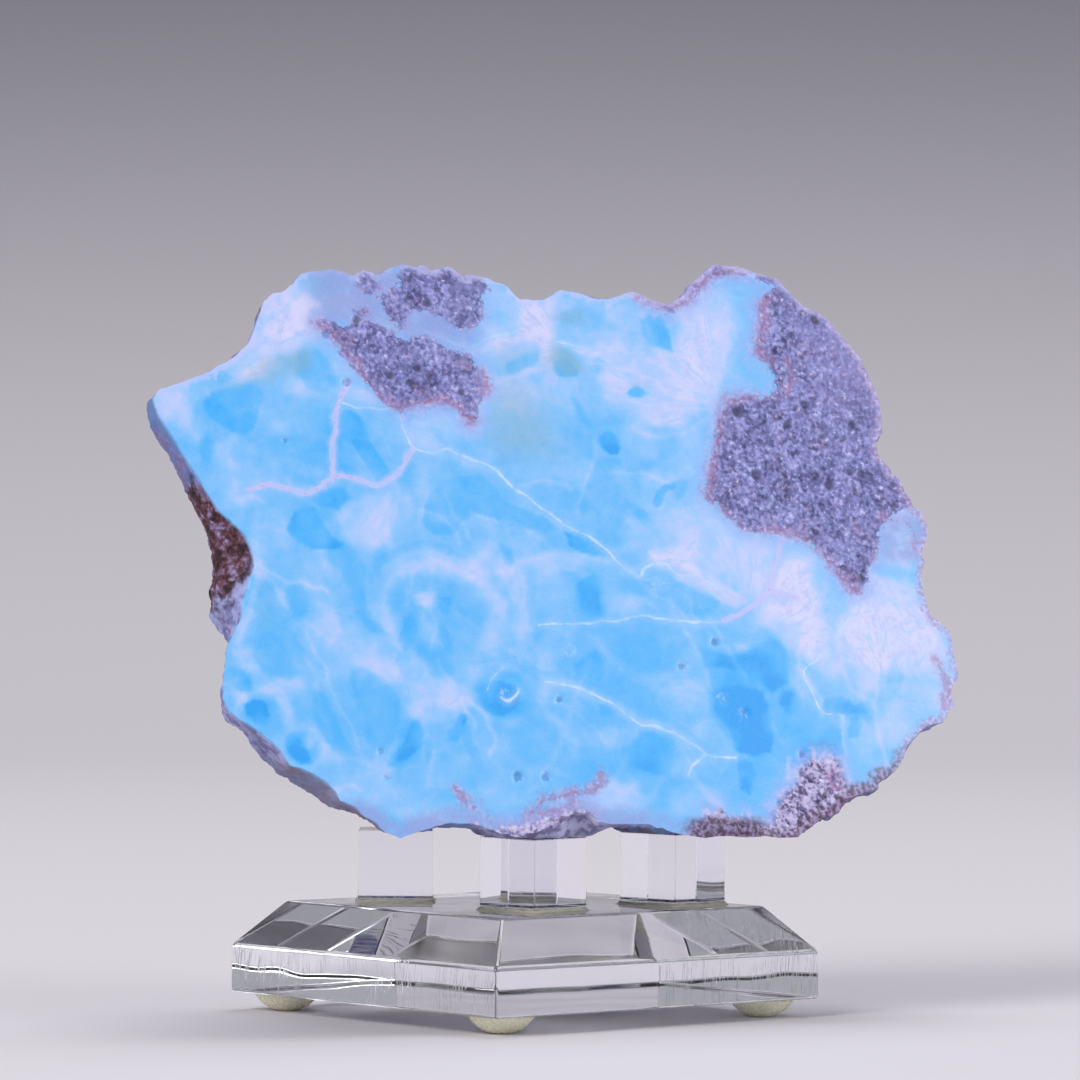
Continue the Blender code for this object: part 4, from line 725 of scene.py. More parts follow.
     (-40.7, -5.8)]),
    (0.35, 0.5, [(-40, -12.2), (-37.8, -10.8), (-36.5, -12.2), (-35.8, -14.9), (-37.6, -16.9),
     (-39.7, -16.1), (-40.7, -14.2)]),
    (0.4, 0.6, [(-35.5, -6.1), (-33.7, -6.1), (-33.2, -8.3), (-34.2, -10), (-35.6, -9)]),
    (-0.45, 0.6, [(-31.6, -7.3), (-29.5, -8.5), (-29.1, -11.5), (-30.9, -13.5), (-32.2, -11.7),
     (-32.4, -9.5)]),
    (0.5, 0.5, [(34.6, -20), (36.7, -20.3), (39.3, -21.6), (38.5, -22.8), (35.9, -22.1),
     (34.1, -21.5)]),
    (0.5, 0.5, [(26.7, -18.7), (28.6, -18.5), (29.7, -20), (29.1, -22), (27.3, -21.5),
     (26.4, -20.2)]),
    (-0.5, 0.6, [(4.4, 26.1), (7, 25.6), (9.8, 24.6), (8.6, 23.8), (6, 24.6), (3.9, 25)]),
]
# Rounded cells: (across, up, two radii, turn, tone inside, tone of the rim, rim width)
ROUNDS = [
    (-16.2, -9.3, 6.9, 6.6, 0, 0.12, -0.6, 1.5), (-27.4, -21.3, 6.9, 6.2, 0, 0.08, -0.55, 1.4),
    (-40.4, -21.5, 3.4, 3.1, 0, 0.3, -0.4, 0.7), (-35.8, -25.3, 2.7, 2.4, 0, 0.55, -0.3, 0.6),
    (-37.4, -12.2, 4.6, 5.4, -10, 0.1, -0.3, 0.9), (-9.2, -2, 2.0, 2.1, 0, -0.35, -0.3, 0.5),
    (-17.5, -7.5, 0.9, 1.0, 0, -0.8, 0, 0.4), (-24.1, 3.2, 3.7, 3.4, 0, 0, -0.1, 0.8),
    (-12.8, 2, 4.7, 4.8, -20, 0, -0.25, 0.8), (-9.1, -19, 4.2, 3.5, -10, 0.25, -0.35, 0.8),
    (-21.9, -24.3, 2.0, 3.2, -25, 0.3, -0.1, 0.6), (-2.5, -8.5, 3.4, 5.6, 0, 0, -0.25, 0.9),
    (0.6, -14.2, 3.9, 3.3, 0, 0.15, -0.3, 0.9), (10.5, -12.3, 6.2, 4.8, -5, 0.15, -0.2, 1.0),
    (13.6, -19.9, 4.0, 3.5, 0, -0.1, -0.25, 0.8), (8, -26.4, 4.5, 3.5, 0, 0.2, -0.3, 0.9),
    (-5.6, -25.3, 4.4, 3.5, 0, 0.15, -0.25, 0.9), (0.1, -31, 3.9, 2.2, 0, 0, -0.25, 0.8),
    (-13.8, -29, 3.4, 2.0, 0, 0, -0.25, 0.8), (23.2, -19.9, 5.8, 7.5, 0, 0.25, -0.2, 1.0),
    (17.1, -27.4, 4.0, 3.8, 0, -0.1, -0.3, 0.8), (16.9, -7.2, 4.8, 2.6, -10, 0.15, -0.25, 0.8),
    (1.4, 5.4, 4.5, 3.3, 0, 0, -0.2, 0.9), (13.8, 8.1, 4.1, 3.2, 0, 0, -0.2, 0.9),
    (-37.7, 12.6, 4.3, 3.8, 0, 0.1, -0.2, 0.9), (-42.2, 15, 3.3, 3.3, 0, 0.1, -0.2, 0.9),
    (-31.5, 11.9, 3.8, 3.3, 0, 0.05, -0.2, 0.8), (38.8, -18.8, 4.7, 4.4, 0, -0.05, -0.25, 0.9),
    (44.6, -12.4, 4.7, 3.9, 0, -0.1, -0.2, 0.9), (7.5, 1.6, 3.2, 2.8, 0, 0.2, -0.2, 0.8),
]
TEALS = [
    (-33.5, 21.5, 4.3, 1.8, 10, 0.6), (-29.8, 23.2, 1.6, 1.8, 0, 0.7),
    (-2.5, 15, 5.3, 5.8, -10, 0.75), (6.1, 29, 3.0, 1.3, 0, 0.6), (4.7, 22.8, 3.0, 1.6, -15, 1),
    (31.4, -26.1, 3.6, 1.5, 20, 0.5), (-3.2, 24.6, 3.4, 2.9, 0, 0.35),
    (35.1, -20.3, 3.0, 1.3, 0, 0.3), (-38.7, -7.3, 1.5, 4.3, 10, 0.4),
    (-38.3, -27.5, 1.3, 1.2, 0, 0.3), (-38.1, 19.6, 3.3, 1.3, 0, 0.25),
    (14.2, 20, 1.4, 0.8, 0, 0.4), (-25.1, 31.5, 2.9, 2.9, 0, 0.45),
]
PITS = [
    (-18.7, 21.1, 0.49), (-14.9, 22.1, 0.49), (-13.5, 21.2, 0.39), (-15.9, 20, 0.49),
    (-12.5, 30.5, 0.49), (-14.5, 33.4, 0.30), (-22.1, 28.1, 0.39), (-9.6, 19.1, 0.39),
    (-24.4, 20, 0.42), (-26.2, 26.2, 0.49), (38.3, 7.7, 0.62), (28.4, 8.9, 0.62),
    (33.7, 15.5, 0.49), (27.1, 17.1, 0.62), (42.7, 15.6, 0.49), (40.7, -4.4, 0.39),
    (42.9, 9.1, 0.49), (41.3, 9.4, 0.39), (-8.8, -29.3, 0.52), (-5.2, -29.3, 0.42),
    (19.5, -12.7, 0.38), (14.6, -15.7, 0.30), (-25.9, -26, 0.23), (-25.6, -29.2, 0.23),
    (32.8, -30, 0.30), (30.7, -35.1, 0.30), (29, -26.9, 0.30), (28.6, -29.2, 0.30),
    (29.7, -30.1, 0.30), (25, -32.9, 0.30), (-33.2, 12.5, 0.23), (-2, -33.7, 0.30),
    (-0.9, -34.4, 0.30), (22.1, -21.5, 0.23), (-2.2, -19.8, 0.23), (33.4, 25.1, 0.39),
    (39.8, 29.5, 0.58), (36.6, 18.2, 0.58),
]
NICKS = [
    (-9.2, -18.9, 0.44), (-7.6, -18.5, 0.44), (6.6, -15.7, 0.35), (14.8, -15.6, 0.44),
    (19, -19.7, 0.45), (21.6, -22, 0.54), (0, -13.5, 0.62), (11.8, -5.5, 0.72),
    (13.7, -5.5, 0.53), (-9.7, -15.3, 0.52), (-12.3, -16.3, 0.43), (18.3, 4, 0.54),
]
CELLS = [
    (25, 18), (-17.4, -7.3), (-8.6, -14.8), (25.2, -12.3), (-31.6, 10.8), (-42.5, 20.1),
    (4.2, 24.8), (5.4, -3.5), (-26.4, -28.2), (41.1, -2), (10.5, -18.6), (-30.2, -8.5),
    (6.3, -33.5), (42.4, -20.1), (-8.6, 9.2), (-40.9, -13.4), (-19, 9), (24.3, 33.1),
    (-2.9, -24.8), (28.5, -27.6),
]
# A fixed seed, because vector noise starts from the clock without one
noise.seed_set(5)
stone_axes = Matrix.Translation(STONE_PLACE) @ STONE_TURN.to_matrix().to_4x4() @ Matrix.Scale(0.001, 4)
rock = bmesh.new()
rock.from_mesh(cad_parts["larimar_stone"].data)
bmesh.ops.remove_doubles(rock, verts=rock.verts, dist=0.000002)
rock.transform(stone_axes.inverted())
sawn = [face for face in rock.faces if all(abs(corner.co.y) < 0.01 for corner in face.verts)]
bmesh.ops.delete(rock, geom=sawn, context="FACES")
for cut in range(SKIN_CUTS):
    bmesh.ops.subdivide_edges(rock, edges=rock.edges[:], cuts=1, use_grid_fill=True)
inner = [corner for corner in rock.verts if not corner.is_boundary]
for turn in range(2):
    bmesh.ops.smooth_vert(rock, verts=inner, factor=0.5, use_axis_x=True, use_axis_y=True, use_axis_z=True)

# The rim, walked in order, with the small nicks that polishing leaves
walk = {corner: [edge.other_vert(corner) for edge in corner.link_edges if edge.is_boundary]
        for corner in rock.verts if corner.is_boundary}
rim = [next(iter(walk))]
while len(rim) < len(walk):
    ahead = [corner for corner in walk[rim[-1]] if len(rim) < 2 or corner is not rim[-2]]
    rim.append(ahead[0])
for corner in rim:
    nick = 0.28 * noise.noise(corner.co * 0.9) + 0.14 * noise.noise(corner.co * 2.3)
    corner.co += Vector((corner.co.x, 0, corner.co.z)).normalized() * (nick - 0.12)
outline = np.array([(corner.co.x, corner.co.z) for corner in rim])


def inside(spots, closed):
    """Which of the spots lie inside a closed outline."""
    found = np.zeros(len(spots), bool)
    ends = np.roll(closed, -1, axis=0)
    for (x0, y0), (x1, y1) in zip(closed, ends):
        if y0 != y1:
            crosses = (y0 > spots[:, 1]) != (y1 > spots[:, 1])
            found ^= crosses & (spots[:, 0] < (x1 - x0) * (spots[:, 1] - y0) / (y1 - y0) + x0)
    return found


def gap_to(spots, lines, closed=False):
    """How far each spot is from the nearest of the lines, mm. Over 4 mm may read as 99."""
    nearest = np.full(len(spots), 99.0)
    for line in lines:
        corners = np.array(line, float)
        ends = np.roll(corners, -1, axis=0) if closed else corners[1:]
        close = ((spots > corners.min(axis=0) - 4) & (spots < corners.max(axis=0) + 4)).all(axis=1)
        close = np.flatnonzero(close)
        for start, end in zip(corners, ends):
            run = end - start
            from_start = spots[close] - start
            share = np.clip((from_start @ run) / max(run @ run, 1e-9), 0, 1)
            away = np.hypot(*(from_start - share[:, None] * run).T)
            nearest[close] = np.minimum(nearest[close], away)
    return nearest


def drawn_line(line, step, shake):
    """The line as a smooth curve through its points, cut to short steps and slightly shaky."""
    ends = [line[0], *line, line[-1]]
    drawn = []
    for before, start, end, after in zip(ends, ends[1:], ends[2:], ends[3:]):
        before, start, end, after = (Vector(spot) for spot in (before, start, end, after))
        count = max(1, round((end - start).length / step))
        for part in range(count):
            share = part / count
            drawn.append(0.5 * (2 * start + (end - before) * share
                                + (2 * before - 5 * start + 4 * end - after) * share ** 2
                                + (3 * start - before - 3 * end + after) * share ** 3))
    drawn.append(Vector(line[-1]))
    shaken = []
    for spot in drawn:
        shift = noise.noise_vector((spot.x * 0.6, spot.y * 0.6, 3.0)) * shake
        shaken.append((spot.x + shift.x, spot.y + shift.y))
    return shaken


white_lines = [drawn_line(line, 0.45, 0.35) for line in WHITE_VEINS]
pink_lines = [drawn_line(line, 0.45, 0.35) for line in PINK_VEINS]
rust_lines = [drawn_line(line, 0.6, 0.5) for line in RUST_LINES]
veil_lines = [drawn_line(line, 0.5, 0.5) for wide, strength, line in VEILS]
thin_lines = [line for (wide, strength, _), line in zip(VEILS, veil_lines) if wide < 0.45]

# The polished face, filled with evenly spread points so that its markings stay fine
low, high = outline.min(axis=0), outline.max(axis=0)
rows = np.arange(low[1], high[1], FACE_GRAIN * 0.866)
filled = []
for number, up in enumerate(rows):
    across = np.arange(low[0] + (number % 2) * FACE_GRAIN / 2, high[0], FACE_GRAIN)
    filled.append(np.stack([across, np.full(len(across), up)], axis=1))
filled = np.concatenate(filled)
filled = filled[inside(filled, outline)]
filled = filled[gap_to(filled, [outline], closed=True) > FACE_GRAIN * 0.55]
traced = np.concatenate([np.array(line) for line in white_lines + pink_lines + rust_lines + thin_lines])
ringed = [(across + radius * math.cos(turn), up + radius * math.sin(turn))
          for across, up, radius in NICKS for turn in np.arange(0, 6.2, 0.6)]
traced = np.concatenate([traced, np.array(ringed)])
traced = traced[inside(traced, outline)]
traced = traced[gap_to(traced, [outline], closed=True) > FACE_GRAIN * 0.55]
kept = [traced[0]]
for spot in traced[1:]:
    if min(np.hypot(*(np.array(kept) - spot).T)) > 0.16:
        kept.append(spot)
filled = np.concatenate([np.array(kept), filled[gap_to(filled, [(spot, spot) for spot in kept]) > 0.26]])
flat_points = [Vector(spot) for spot in np.concatenate([outline, filled]).tolist()]
drawn = geometry.delaunay_2d_cdt(flat_points, [], [list(range(len(rim)))], 1, 1e-6)
corners = []
for place, sources in zip(drawn[0], drawn[3]):
    first = min(sources) if sources else len(flat_points)
    corners.append(rim[first] if first < len(rim) else rock.verts.new((place.x, 0, place.y)))
polished = []
for triangle in drawn[2]:
    made = rock.faces.new([corners[index] for index in triangle])
    polished.append(made)
bmesh.ops.recalc_face_normals(rock, faces=rock.faces)
rock.normal_update()
for corner, after in zip(rim, rim[1:] + rim[:1]):
    edge = rock.edges.get((corner, after))
    if edge:
        edge.smooth = False
face_corners = {corner for made in polished for corner in made.verts}
rock.verts.index_update()
places = np.array([tuple(corner.co) for corner in rock.verts])
spots = places[:, (0, 2)]
on_face = np.array([corner in face_corners for corner in rock.verts])
rim_gap = gap_to(spots, [outline], closed=True)


def blobs(spots, patches, sharp=2.4):
    """Soft oval patches added together at each spot."""
    total = np.zeros(len(spots))
    for across, up, wide, tall, turn, strength in patches:
        lean = math.radians(turn)
        along = (spots - (across, up)) @ np.array([[math.cos(lean), -math.sin(lean)],
                                                   [math.sin(lean), math.cos(lean)]])
        far = np.hypot(along[:, 0] / wide, along[:, 1] / tall)
        total += strength / (1 + (far / 0.95) ** (4 * sharp))
    return total


drift = [noise.noise_vector(corner.co / 5) * 1.5 + noise.noise_vector(corner.co / 1.6) * 0.45
         for corner in rock.verts]
drifted = spots + np.array([(shift.x, shift.z) for shift in drift])
matrix = np.full(len(spots), -9.0)
for closed in MATRIX_OUTLINES:
    edge_gap = gap_to(spots, [closed], closed=True)
    matrix = np.maximum(matrix, np.where(inside(spots, np.array(closed)), edge_gap, -edge_gap))
veil = np.zeros(len(spots))
for (wide, strength, _), line in zip(VEILS, veil_lines):
    veil = np.maximum(veil, strength * np.exp(-(gap_to(spots, [line]) / wide) ** 2))
tone = blobs(drifted, TONES, 1.3)
half_drifted = spots + 0.3 * (drifted - spots)
fading = np.array([min(1.3, max(0.4, 0.95 + 1.1 * noise.noise(corner.co / 4.2))) for corner in rock.verts])
for depth, soft, closed in PANES:
    edge_gap = gap_to(half_drifted, [closed], closed=True)
    share = np.where(inside(half_drifted, np.array(closed)), edge_gap, -edge_gap) / soft + 0.5
    share = np.clip(share, 0, 1)
    tone += depth * share * share * (3 - 2 * share) * fading
for across, up, wide, tall, turn, depth, rim_tone, rim_wide in ROUNDS:
    lean = math.radians(turn)
    along = (half_drifted - (across, up)) @ np.array([[math.cos(lean), -math.sin(lean)],
                                                      [math.sin(lean), math.cos(lean)]])
    past = (np.hypot(along[:, 0] / wide, along[:, 1] / tall) - 1) * (wide + tall) / 2
    share = np.clip(0.2 - past / 1.6, 0, 1)
    tone += depth * share * share * (3 - 2 * share)
    tone += rim_tone * np.exp(-(past / rim_wide) ** 2) * fading
nick = np.zeros(len(spots))
for across, up, radius in NICKS:
    away = np.hypot(spots[:, 0] - across, spots[:, 1] - up)
    nick = np.maximum(nick, np.exp(-((away - radius) / 0.22) ** 2))
pit = np.full(len(spots), -9.0)
for across, up, radius in PITS:
    pit = np.maximum(pit, radius - np.hypot(spots[:, 0] - across, spots[:, 1] - up))
toward = spots[:, None, :] - np.array(CELLS)[None, :, :]
reach = np.sqrt((toward ** 2).sum(axis=2))
own = reach.min(axis=1)
ray_values = toward[np.arange(len(spots)), reach.argmin(axis=1)] / np.maximum(own, 0.05)[:, None]
crust = np.full(len(spots), -9.0)
for closed in MATRIX_OUTLINES[7:]:
    edge_gap = gap_to(spots, [closed], closed=True)
    crust = np.maximum(crust, np.where(inside(spots, np.array(closed)), edge_gap, -edge_gap))
markings = {
    "matrix_depth": matrix,
    "crust_depth": crust,
    "rust_gap": gap_to(spots, rust_lines),
    "pink_gap": gap_to(spots, pink_lines),
    "vein_gap": gap_to(spots, white_lines),
    "veil": veil,
    "tone": tone,
    "teal": blobs(drifted, TEALS, 1.0),
    "nick": nick,
    "pit": pit,
    "broken": np.where(on_face, 0.0, 1.0),
    "rim_gap": rim_gap,
}

# The relief: pits and crust on the face, and ledges and grain on the broken sides
floor_level = 0.0234
box_low, box_high = (Vector(corner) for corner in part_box("larimar_stone"))
for corner in rock.verts:
    index = corner.index
    if on_face[index]:
        sunk = 0.0
        if pit[index] > -0.3:
            sunk += 0.5 * min(1.0, pit[index] + 0.3)
        if crust[index] > 0 and rim_gap[index] > 0.2:
            sunk += min(1.0, crust[index]) * (0.60 * noise.noise(corner.co * 0.7)
                                              + 0.50 * noise.noise(corner.co * 1.7))
        corner.co.y += sunk
    elif rim_gap[index] > 0.01 or corner.co.y > 0.05:
        ledge = noise.voronoi(corner.co / 2.6)[0]
        grain = noise.noise(corner.co * 1.1) + 0.5 * noise.noise(corner.co * 2.4)
        rise = 0.55 * (0.35 - (ledge[1] - ledge[0])) + 0.28 * grain
        fade = min(1.0, corner.co.y / 1.2)
        corner.co += corner.normal * rise * fade
lowest = {}
for corner in rock.verts:
    lowest[corner.index] = (stone_axes @ Vector(places[corner.index])).z
rock.transform(stone_axes)
for corner in rock.verts:
    if lowest[corner.index] < floor_level:
        corner.co.z = max(corner.co.z, lowest[corner.index])
    corner.co = Vector([min(max(value, small), large)
                        for value, small, large in zip(corner.co, box_low, box_high)])

# The stone's finish: milky blues in rounded cells of fine needles, thin pale and pink
# veins, grainy grey matrix with rusty edges, and duller broken rock on the sides
larimar, tree, shader = finish("larimar")
place = add(tree, "ShaderNodeTexCoord").outputs["Object"]
local = add(tree, "ShaderNodeMapping", {
    "Vector": place, "Location": STONE_PLACE, "Rotation": STONE_TURN, "Scale": (0.001, 0.001, 0.001)},
    vector_type="TEXTURE").outputs[0]


def marking(name):
    """One of the markings stored on the stone's mesh."""
    return add(tree, "ShaderNodeAttribute", attribute_name=name).outputs["Fac"]


def sum_of(first, second, kind="ADD"):
    return add(tree, "ShaderNodeMath", {0: first, 1: second}, operation=kind).outputs[0]


def times(first, second):
    return sum_of(first, second, "MULTIPLY")


def cloud(size, detail=2.0, shift=0.0, rough=0.5):
    """Soft noise around zero, of that size in mm."""
    moved = add(tree, "ShaderNodeVectorMath", {0: local, 1: (shift, shift * 1.7, -shift)}).outputs[0]
    made = add(tree, "ShaderNodeTexNoise", {
        "Vector": moved, "Scale": 1 / size, "Detail": detail, "Roughness": rough})
    return sum_of(made.outputs[0], 0.5, "SUBTRACT")


def band(value, start, end, low=0.0, high=1.0):
    """Rises smoothly from low at start to high at end."""
    made = add(tree, "ShaderNodeMapRange", {0: value, 1: start, 2: end, 3: low, 4: high},
               interpolation_type="SMOOTHSTEP")
    return made.outputs[0]


def tint(share, under, over):
    """The colour over laid on the colour under, by that share."""
    return add(tree, "ShaderNodeMix", {0: share, 6: under, 7: over}, data_type="RGBA").outputs[2]


fine = cloud(0.55, 3.0)
small = cloud(1.3, 3.0, 5.0)
medium = cloud(4.0, 3.0, 11.0)
broad = cloud(11.0, 2.0, 23.0)
ray = add(tree, "ShaderNodeAttribute", attribute_name="ray").outputs["Vector"]


def fans(count, along, detail):
    """Streaks that spread from the middle of each cell, around zero."""
    spread = add(tree, "ShaderNodeVectorMath", {0: ray, 1: (count, along, count)}, operation="MULTIPLY")
    made = add(tree, "ShaderNodeTexNoise", {
        "Vector": spread.outputs[0], "Scale": 1.0, "Detail": detail, "Roughness": 0.55})
    return sum_of(made.outputs[0], 0.5, "SUBTRACT")


broad_fans = fans(2.2, 0.11, 2.0)
needles = times(fans(8.0, 0.2, 3.0), band(medium, -0.05, 0.2))
warp = add(tree, "ShaderNodeTexNoise", {"Vector": local, "Scale": 0.16, "Detail": 2.0}).outputs["Color"]
warp = add(tree, "ShaderNodeVectorMath", {0: warp, 1: (7.0, 7.0, 7.0)}, operation="MULTIPLY").outputs[0]
bent = add(tree, "ShaderNodeVectorMath", {0: local, 1: warp}).outputs[0]
clumps = add(tree, "ShaderNodeTexVoronoi", {"Vector": bent, "Scale": 0.12})
clump_tone = sum_of(add(tree, "ShaderNodeSeparateColor", {0: clumps.outputs["Color"]}).outputs[0], 0.5, "SUBTRACT")
clump_edge = add(tree, "ShaderNodeTexVoronoi", {"Vector": bent, "Scale": 0.12}, feature="DISTANCE_TO_EDGE")
clump_edge = times(band(clump_edge.outputs["Distance"], 0.14, 0.0), band(broad, -0.12, 0.1))

depth_of_blue = sum_of(sum_of(times(marking("tone"), 0.45), 0.10), times(broad, 0.12))
for share, layer in ((0.26, medium), (0.40, needles), (0.22, broad_fans), (0.36, small), (0.20, fine),
                     (0.10, clump_tone), (-0.10, clump_edge), (-0.55, marking("veil"))):
    depth_of_blue = sum_of(depth_of_blue, times(layer, share))
blues = add(tree, "ShaderNodeValToRGB", {0: add(tree, "ShaderNodeMapRange", {
    0: depth_of_blue, 1: -0.8, 2: 0.7}).outputs[0]})
blues.color_ramp.elements[0].position = 0.0
blues.color_ramp.elements[0].color = paint(212, 214, 248)
blues.color_ramp.elements[1].position = 1.0
blues.color_ramp.elements[1].color = paint(50, 164, 243)
for position, colour in ((0.22, paint(184, 206, 250)), (0.42, paint(142, 198, 250)),
                         (0.62, paint(106, 188, 248)), (0.82, paint(76, 180, 250))):
    blues.color_ramp.elements.new(position).color = colour
colour = blues.outputs[0]
milky = band(depth_of_blue, -0.15, -0.5)
colour = tint(times(times(milky, band(fans(13.0, 0.35, 4.0), 0.0, 0.16)), 0.6), colour, paint(158, 202, 252))
colour = tint(times(times(band(depth_of_blue, -0.35, -0.7), band(sum_of(small, fine), 0.0, 0.2)), 0.5), colour,
              paint(182, 190, 240))
colour = tint(times(band(sum_of(marking("teal"), times(medium, 0.5)), 0.1, 1.0), 0.62),
              colour, paint(128, 178, 204))

vein_gap = sum_of(marking("vein_gap"), times(small, 0.5))
colour = tint(times(band(vein_gap, 1.1, 0.0, 0.0, 0.45), band(medium, -0.2, 0.2, 0.3, 1.0)), colour, paint(168, 206, 252))
colour = tint(times(band(vein_gap, 0.21, 0.05), band(cloud(2.2, 2.0, 41.0), -0.15, 0.15, 0.25, 0.9)),
              colour, paint(194, 222, 254))
colour = tint(times(marking("nick"), band(sum_of(small, fine), -0.02, 0.2, 0.0, 0.6)), colour, paint(184, 216, 252))
pink_gap = sum_of(marking("pink_gap"), times(small, 1.1))
colour = tint(band(pink_gap, 1.0, 0.1, 0.0, 0.55), colour, paint(168, 196, 250))
colour = tint(times(band(pink_gap, 0.45, 0.15), band(small, -0.15, 0.1, 0.4, 0.9)), colour, paint(204, 200, 244))
colour = tint(times(band(pink_gap, 0.22, 0.04), band(sum_of(small, times(fine, 0.7)), -0.02, 0.2, 0.0, 0.8)), colour, paint(170, 136, 186))

# Matrix: grey-lavender grains with dark gaps and light flecks
grains = add(tree, "ShaderNodeTexVoronoi", {"Vector": local, "Scale": 1.7, "Randomness": 1.0})
speck = add(tree, "ShaderNodeSeparateColor", {0: grains.outputs["Color"]})
grain_shade = sum_of(times(speck.outputs[0], 0.36), times(fine, 1.25))
grain_shade = sum_of(sum_of(grain_shade, times(small, 0.7)), sum_of(times(medium, 0.5), 0.26))
granular = add(tree, "ShaderNodeValToRGB", {0: grain_shade})
granular.color_ramp.elements[0].position = 0.0
granular.color_ramp.elements[0].color = paint(58, 58, 102)
granular.color_ramp.elements[1].position = 1.0
granular.color_ramp.elements[1].color = paint(208, 206, 242)
for position, shade in ((0.25, paint(94, 95, 150)), (0.45, paint(124, 126, 186)), (0.65, paint(152, 154, 214)),
                        (0.82, paint(178, 180, 234))):
    granular.color_ramp.elements.new(position).color = shade
holes = add(tree, "ShaderNodeTexVoronoi", {"Vector": local, "Scale": 0.55, "Randomness": 1.0})
hole = band(sum_of(holes.outputs["Distance"], times(small, 0.5)), 0.26, 0.12)
stony = tint(times(hole, 0.4), granular.outputs[0], paint(62, 58, 96))
where = add(tree, "ShaderNodeSeparateXYZ", {0: local})
smooth_part = times(band(where.outputs[0], 34.0, 44.0), band(where.outputs[2], 10.0, 24.0))
stony = tint(times(smooth_part, 0.45), stony, paint(148, 142, 202))
stony = tint(band(sum_of(broad, times(medium, 0.7)), 0.02, 0.2, 0.0, 0.4), stony, paint(104, 112, 160))
stony = tint(band(sum_of(cloud(3.0, 2.0, 51.0), fine), 0.08, 0.24, 0.0, 0.4), stony, paint(158, 124, 164))
matrix_depth = sum_of(marking("matrix_depth"), sum_of(times(small, 2.4), times(fine, 2.2)))
in_matrix = band(matrix_depth, -0.2, 0.25)
halo = times(band(matrix_depth, -2.8, -0.1), band(sum_of(medium, times(fine, 0.4)), -0.2, 0.14, 0.2, 0.8))
crust_depth = sum_of(marking("crust_depth"), sum_of(times(small, 2.0), times(fine, 1.6)))
rust_gap = sum_of(marking("rust_gap"), sum_of(times(small, 2.4), times(fine, 1.2)))
rust_near = times(band(rust_gap, 1.3, 0.1, 0.0, 0.75), band(medium, -0.18, 0.12, 0.25, 1.0))
rust_red = times(band(rust_gap, 0.5, 0.1), band(sum_of(fine, small), -0.10, 0.10, 0.05, 0.75))
colour = tint(halo, colour, tint(band(small, -0.14, 0.18), paint(146, 172, 238), paint(184, 192, 244)))
colour = tint(in_matrix, colour, stony)
# Crust colours, dark to pale. The dark end is partly the crust's brown gaps and partly painted shade standing in for
# its crevices.
crumbs_and_crevice_shade = add(tree, "ShaderNodeValToRGB", {
    0: sum_of(sum_of(times(small, 1.0), times(fine, 1.5)), times(speck.outputs[2], 0.4))})
crumbs_and_crevice_shade.color_ramp.elements[0].color = paint(92, 70, 94)
crumbs_and_crevice_shade.color_ramp.elements[1].color = paint(236, 230, 250)
for position, shade in ((0.05, paint(128, 104, 134)), (0.15, paint(172, 160, 204)), (0.35, paint(202, 194, 232))):
    crumbs_and_crevice_shade.color_ramp.elements.new(position).color = shade
colour = tint(times(band(crust_depth, -0.9, 0.5), band(sum_of(small, fine), -0.2, 0.1, 0.55, 0.9)), colour,
              crumbs_and_crevice_shade.outputs[0])
colour = tint(rust_near, colour, tint(band(fine, -0.08, 0.12), paint(150, 128, 182), paint(198, 176, 220)))
colour = tint(rust_red, colour, paint(146, 92, 126))
stony_share = sum_of(in_matrix, rust_near, "MAXIMUM")
light_fleck = band(sum_of(fine, times(speck.outputs[1], 0.16)), 0.22, 0.32)
colour = tint(times(light_fleck, times(stony_share, 0.8)), colour, paint(210, 204, 234))
pit_depth = sum_of(marking("pit"), times(fine, 0.9))
in_pit = band(pit_depth, -0.3, 0.25)
colour = tint(times(in_pit, sum_of(0.5, times(in_matrix, 0.25))), colour, tint(in_matrix, paint(74, 112, 196), paint(56, 54, 90)))
# Distance from the rim, made ragged by noise. It places the rim crust, and also the painted highlight and shadow along
# the rim.
ragged_rim_gap = sum_of(marking("rim_gap"), sum_of(times(small, 2.6), times(fine, 1.2)))
right_rim = times(band(ragged_rim_gap, 1.3, 0.2), band(where.outputs[0], 34.0, 46.0))
# Along the lower right rim the colour darkens: partly crust, partly painted shadow below the crust's edge.
lower_rim_crust_and_shadow = times(band(ragged_rim_gap, 1.9, 0.5),
                  times(band(where.outputs[0], 10.0, 14.0), band(where.outputs[2], -24.0, -30.0)))
# A pale band along the top rim is a painted highlight of the lit edge.
upper_rim_highlight = times(band(ragged_rim_gap, 0.9, 0.1, 0.0, 0.55), band(where.outputs[2], 12.0, 22.0))
colour = tint(upper_rim_highlight, colour, paint(204, 204, 250))
grey_veil = sum_of(
    times(band(where.outputs[0], -30.0, -25.0), times(band(where.outputs[0], -4.0, -8.0), band(where.outputs[2], 24.0, 27.5))),
    times(band(where.outputs[0], 43.0, 45.0), times(band(where.outputs[2], -3.5, -1.0), band(where.outputs[2], 5.0, 3.0))))
foot_veil = times(band(ragged_rim_gap, 2.8, 0.8), band(where.outputs[2], -31.0, -33.0))
grey_veil = times(sum_of(grey_veil, foot_veil), sum_of(1.0, stony_share, "SUBTRACT"))
colour = tint(times(grey_veil, band(sum_of(medium, small), -0.3, 0.1, 0.3, 0.75)), colour, paint(146, 160, 218))
colour = tint(times(right_rim, 0.75), colour, tint(band(fine, -0.1, 0.15), paint(160, 138, 186), paint(204, 196, 240)))
colour = tint(times(lower_rim_crust_and_shadow, 0.85), colour, tint(band(fine, -0.1, 0.15), paint(92, 66, 88), paint(168, 150, 190)))
# The lower crust is coloured darker towards the bottom edge.
darker_crust_foot = times(band(where.outputs[2], -34.2, -35.2), times(band(where.outputs[0], 11.5, 13.5), band(where.outputs[0], 23.5, 21.0)))
colour = tint(times(darker_crust_foot, 0.8), colour, tint(band(fine, -0.1, 0.15), paint(70, 48, 70), paint(138, 124, 166)))
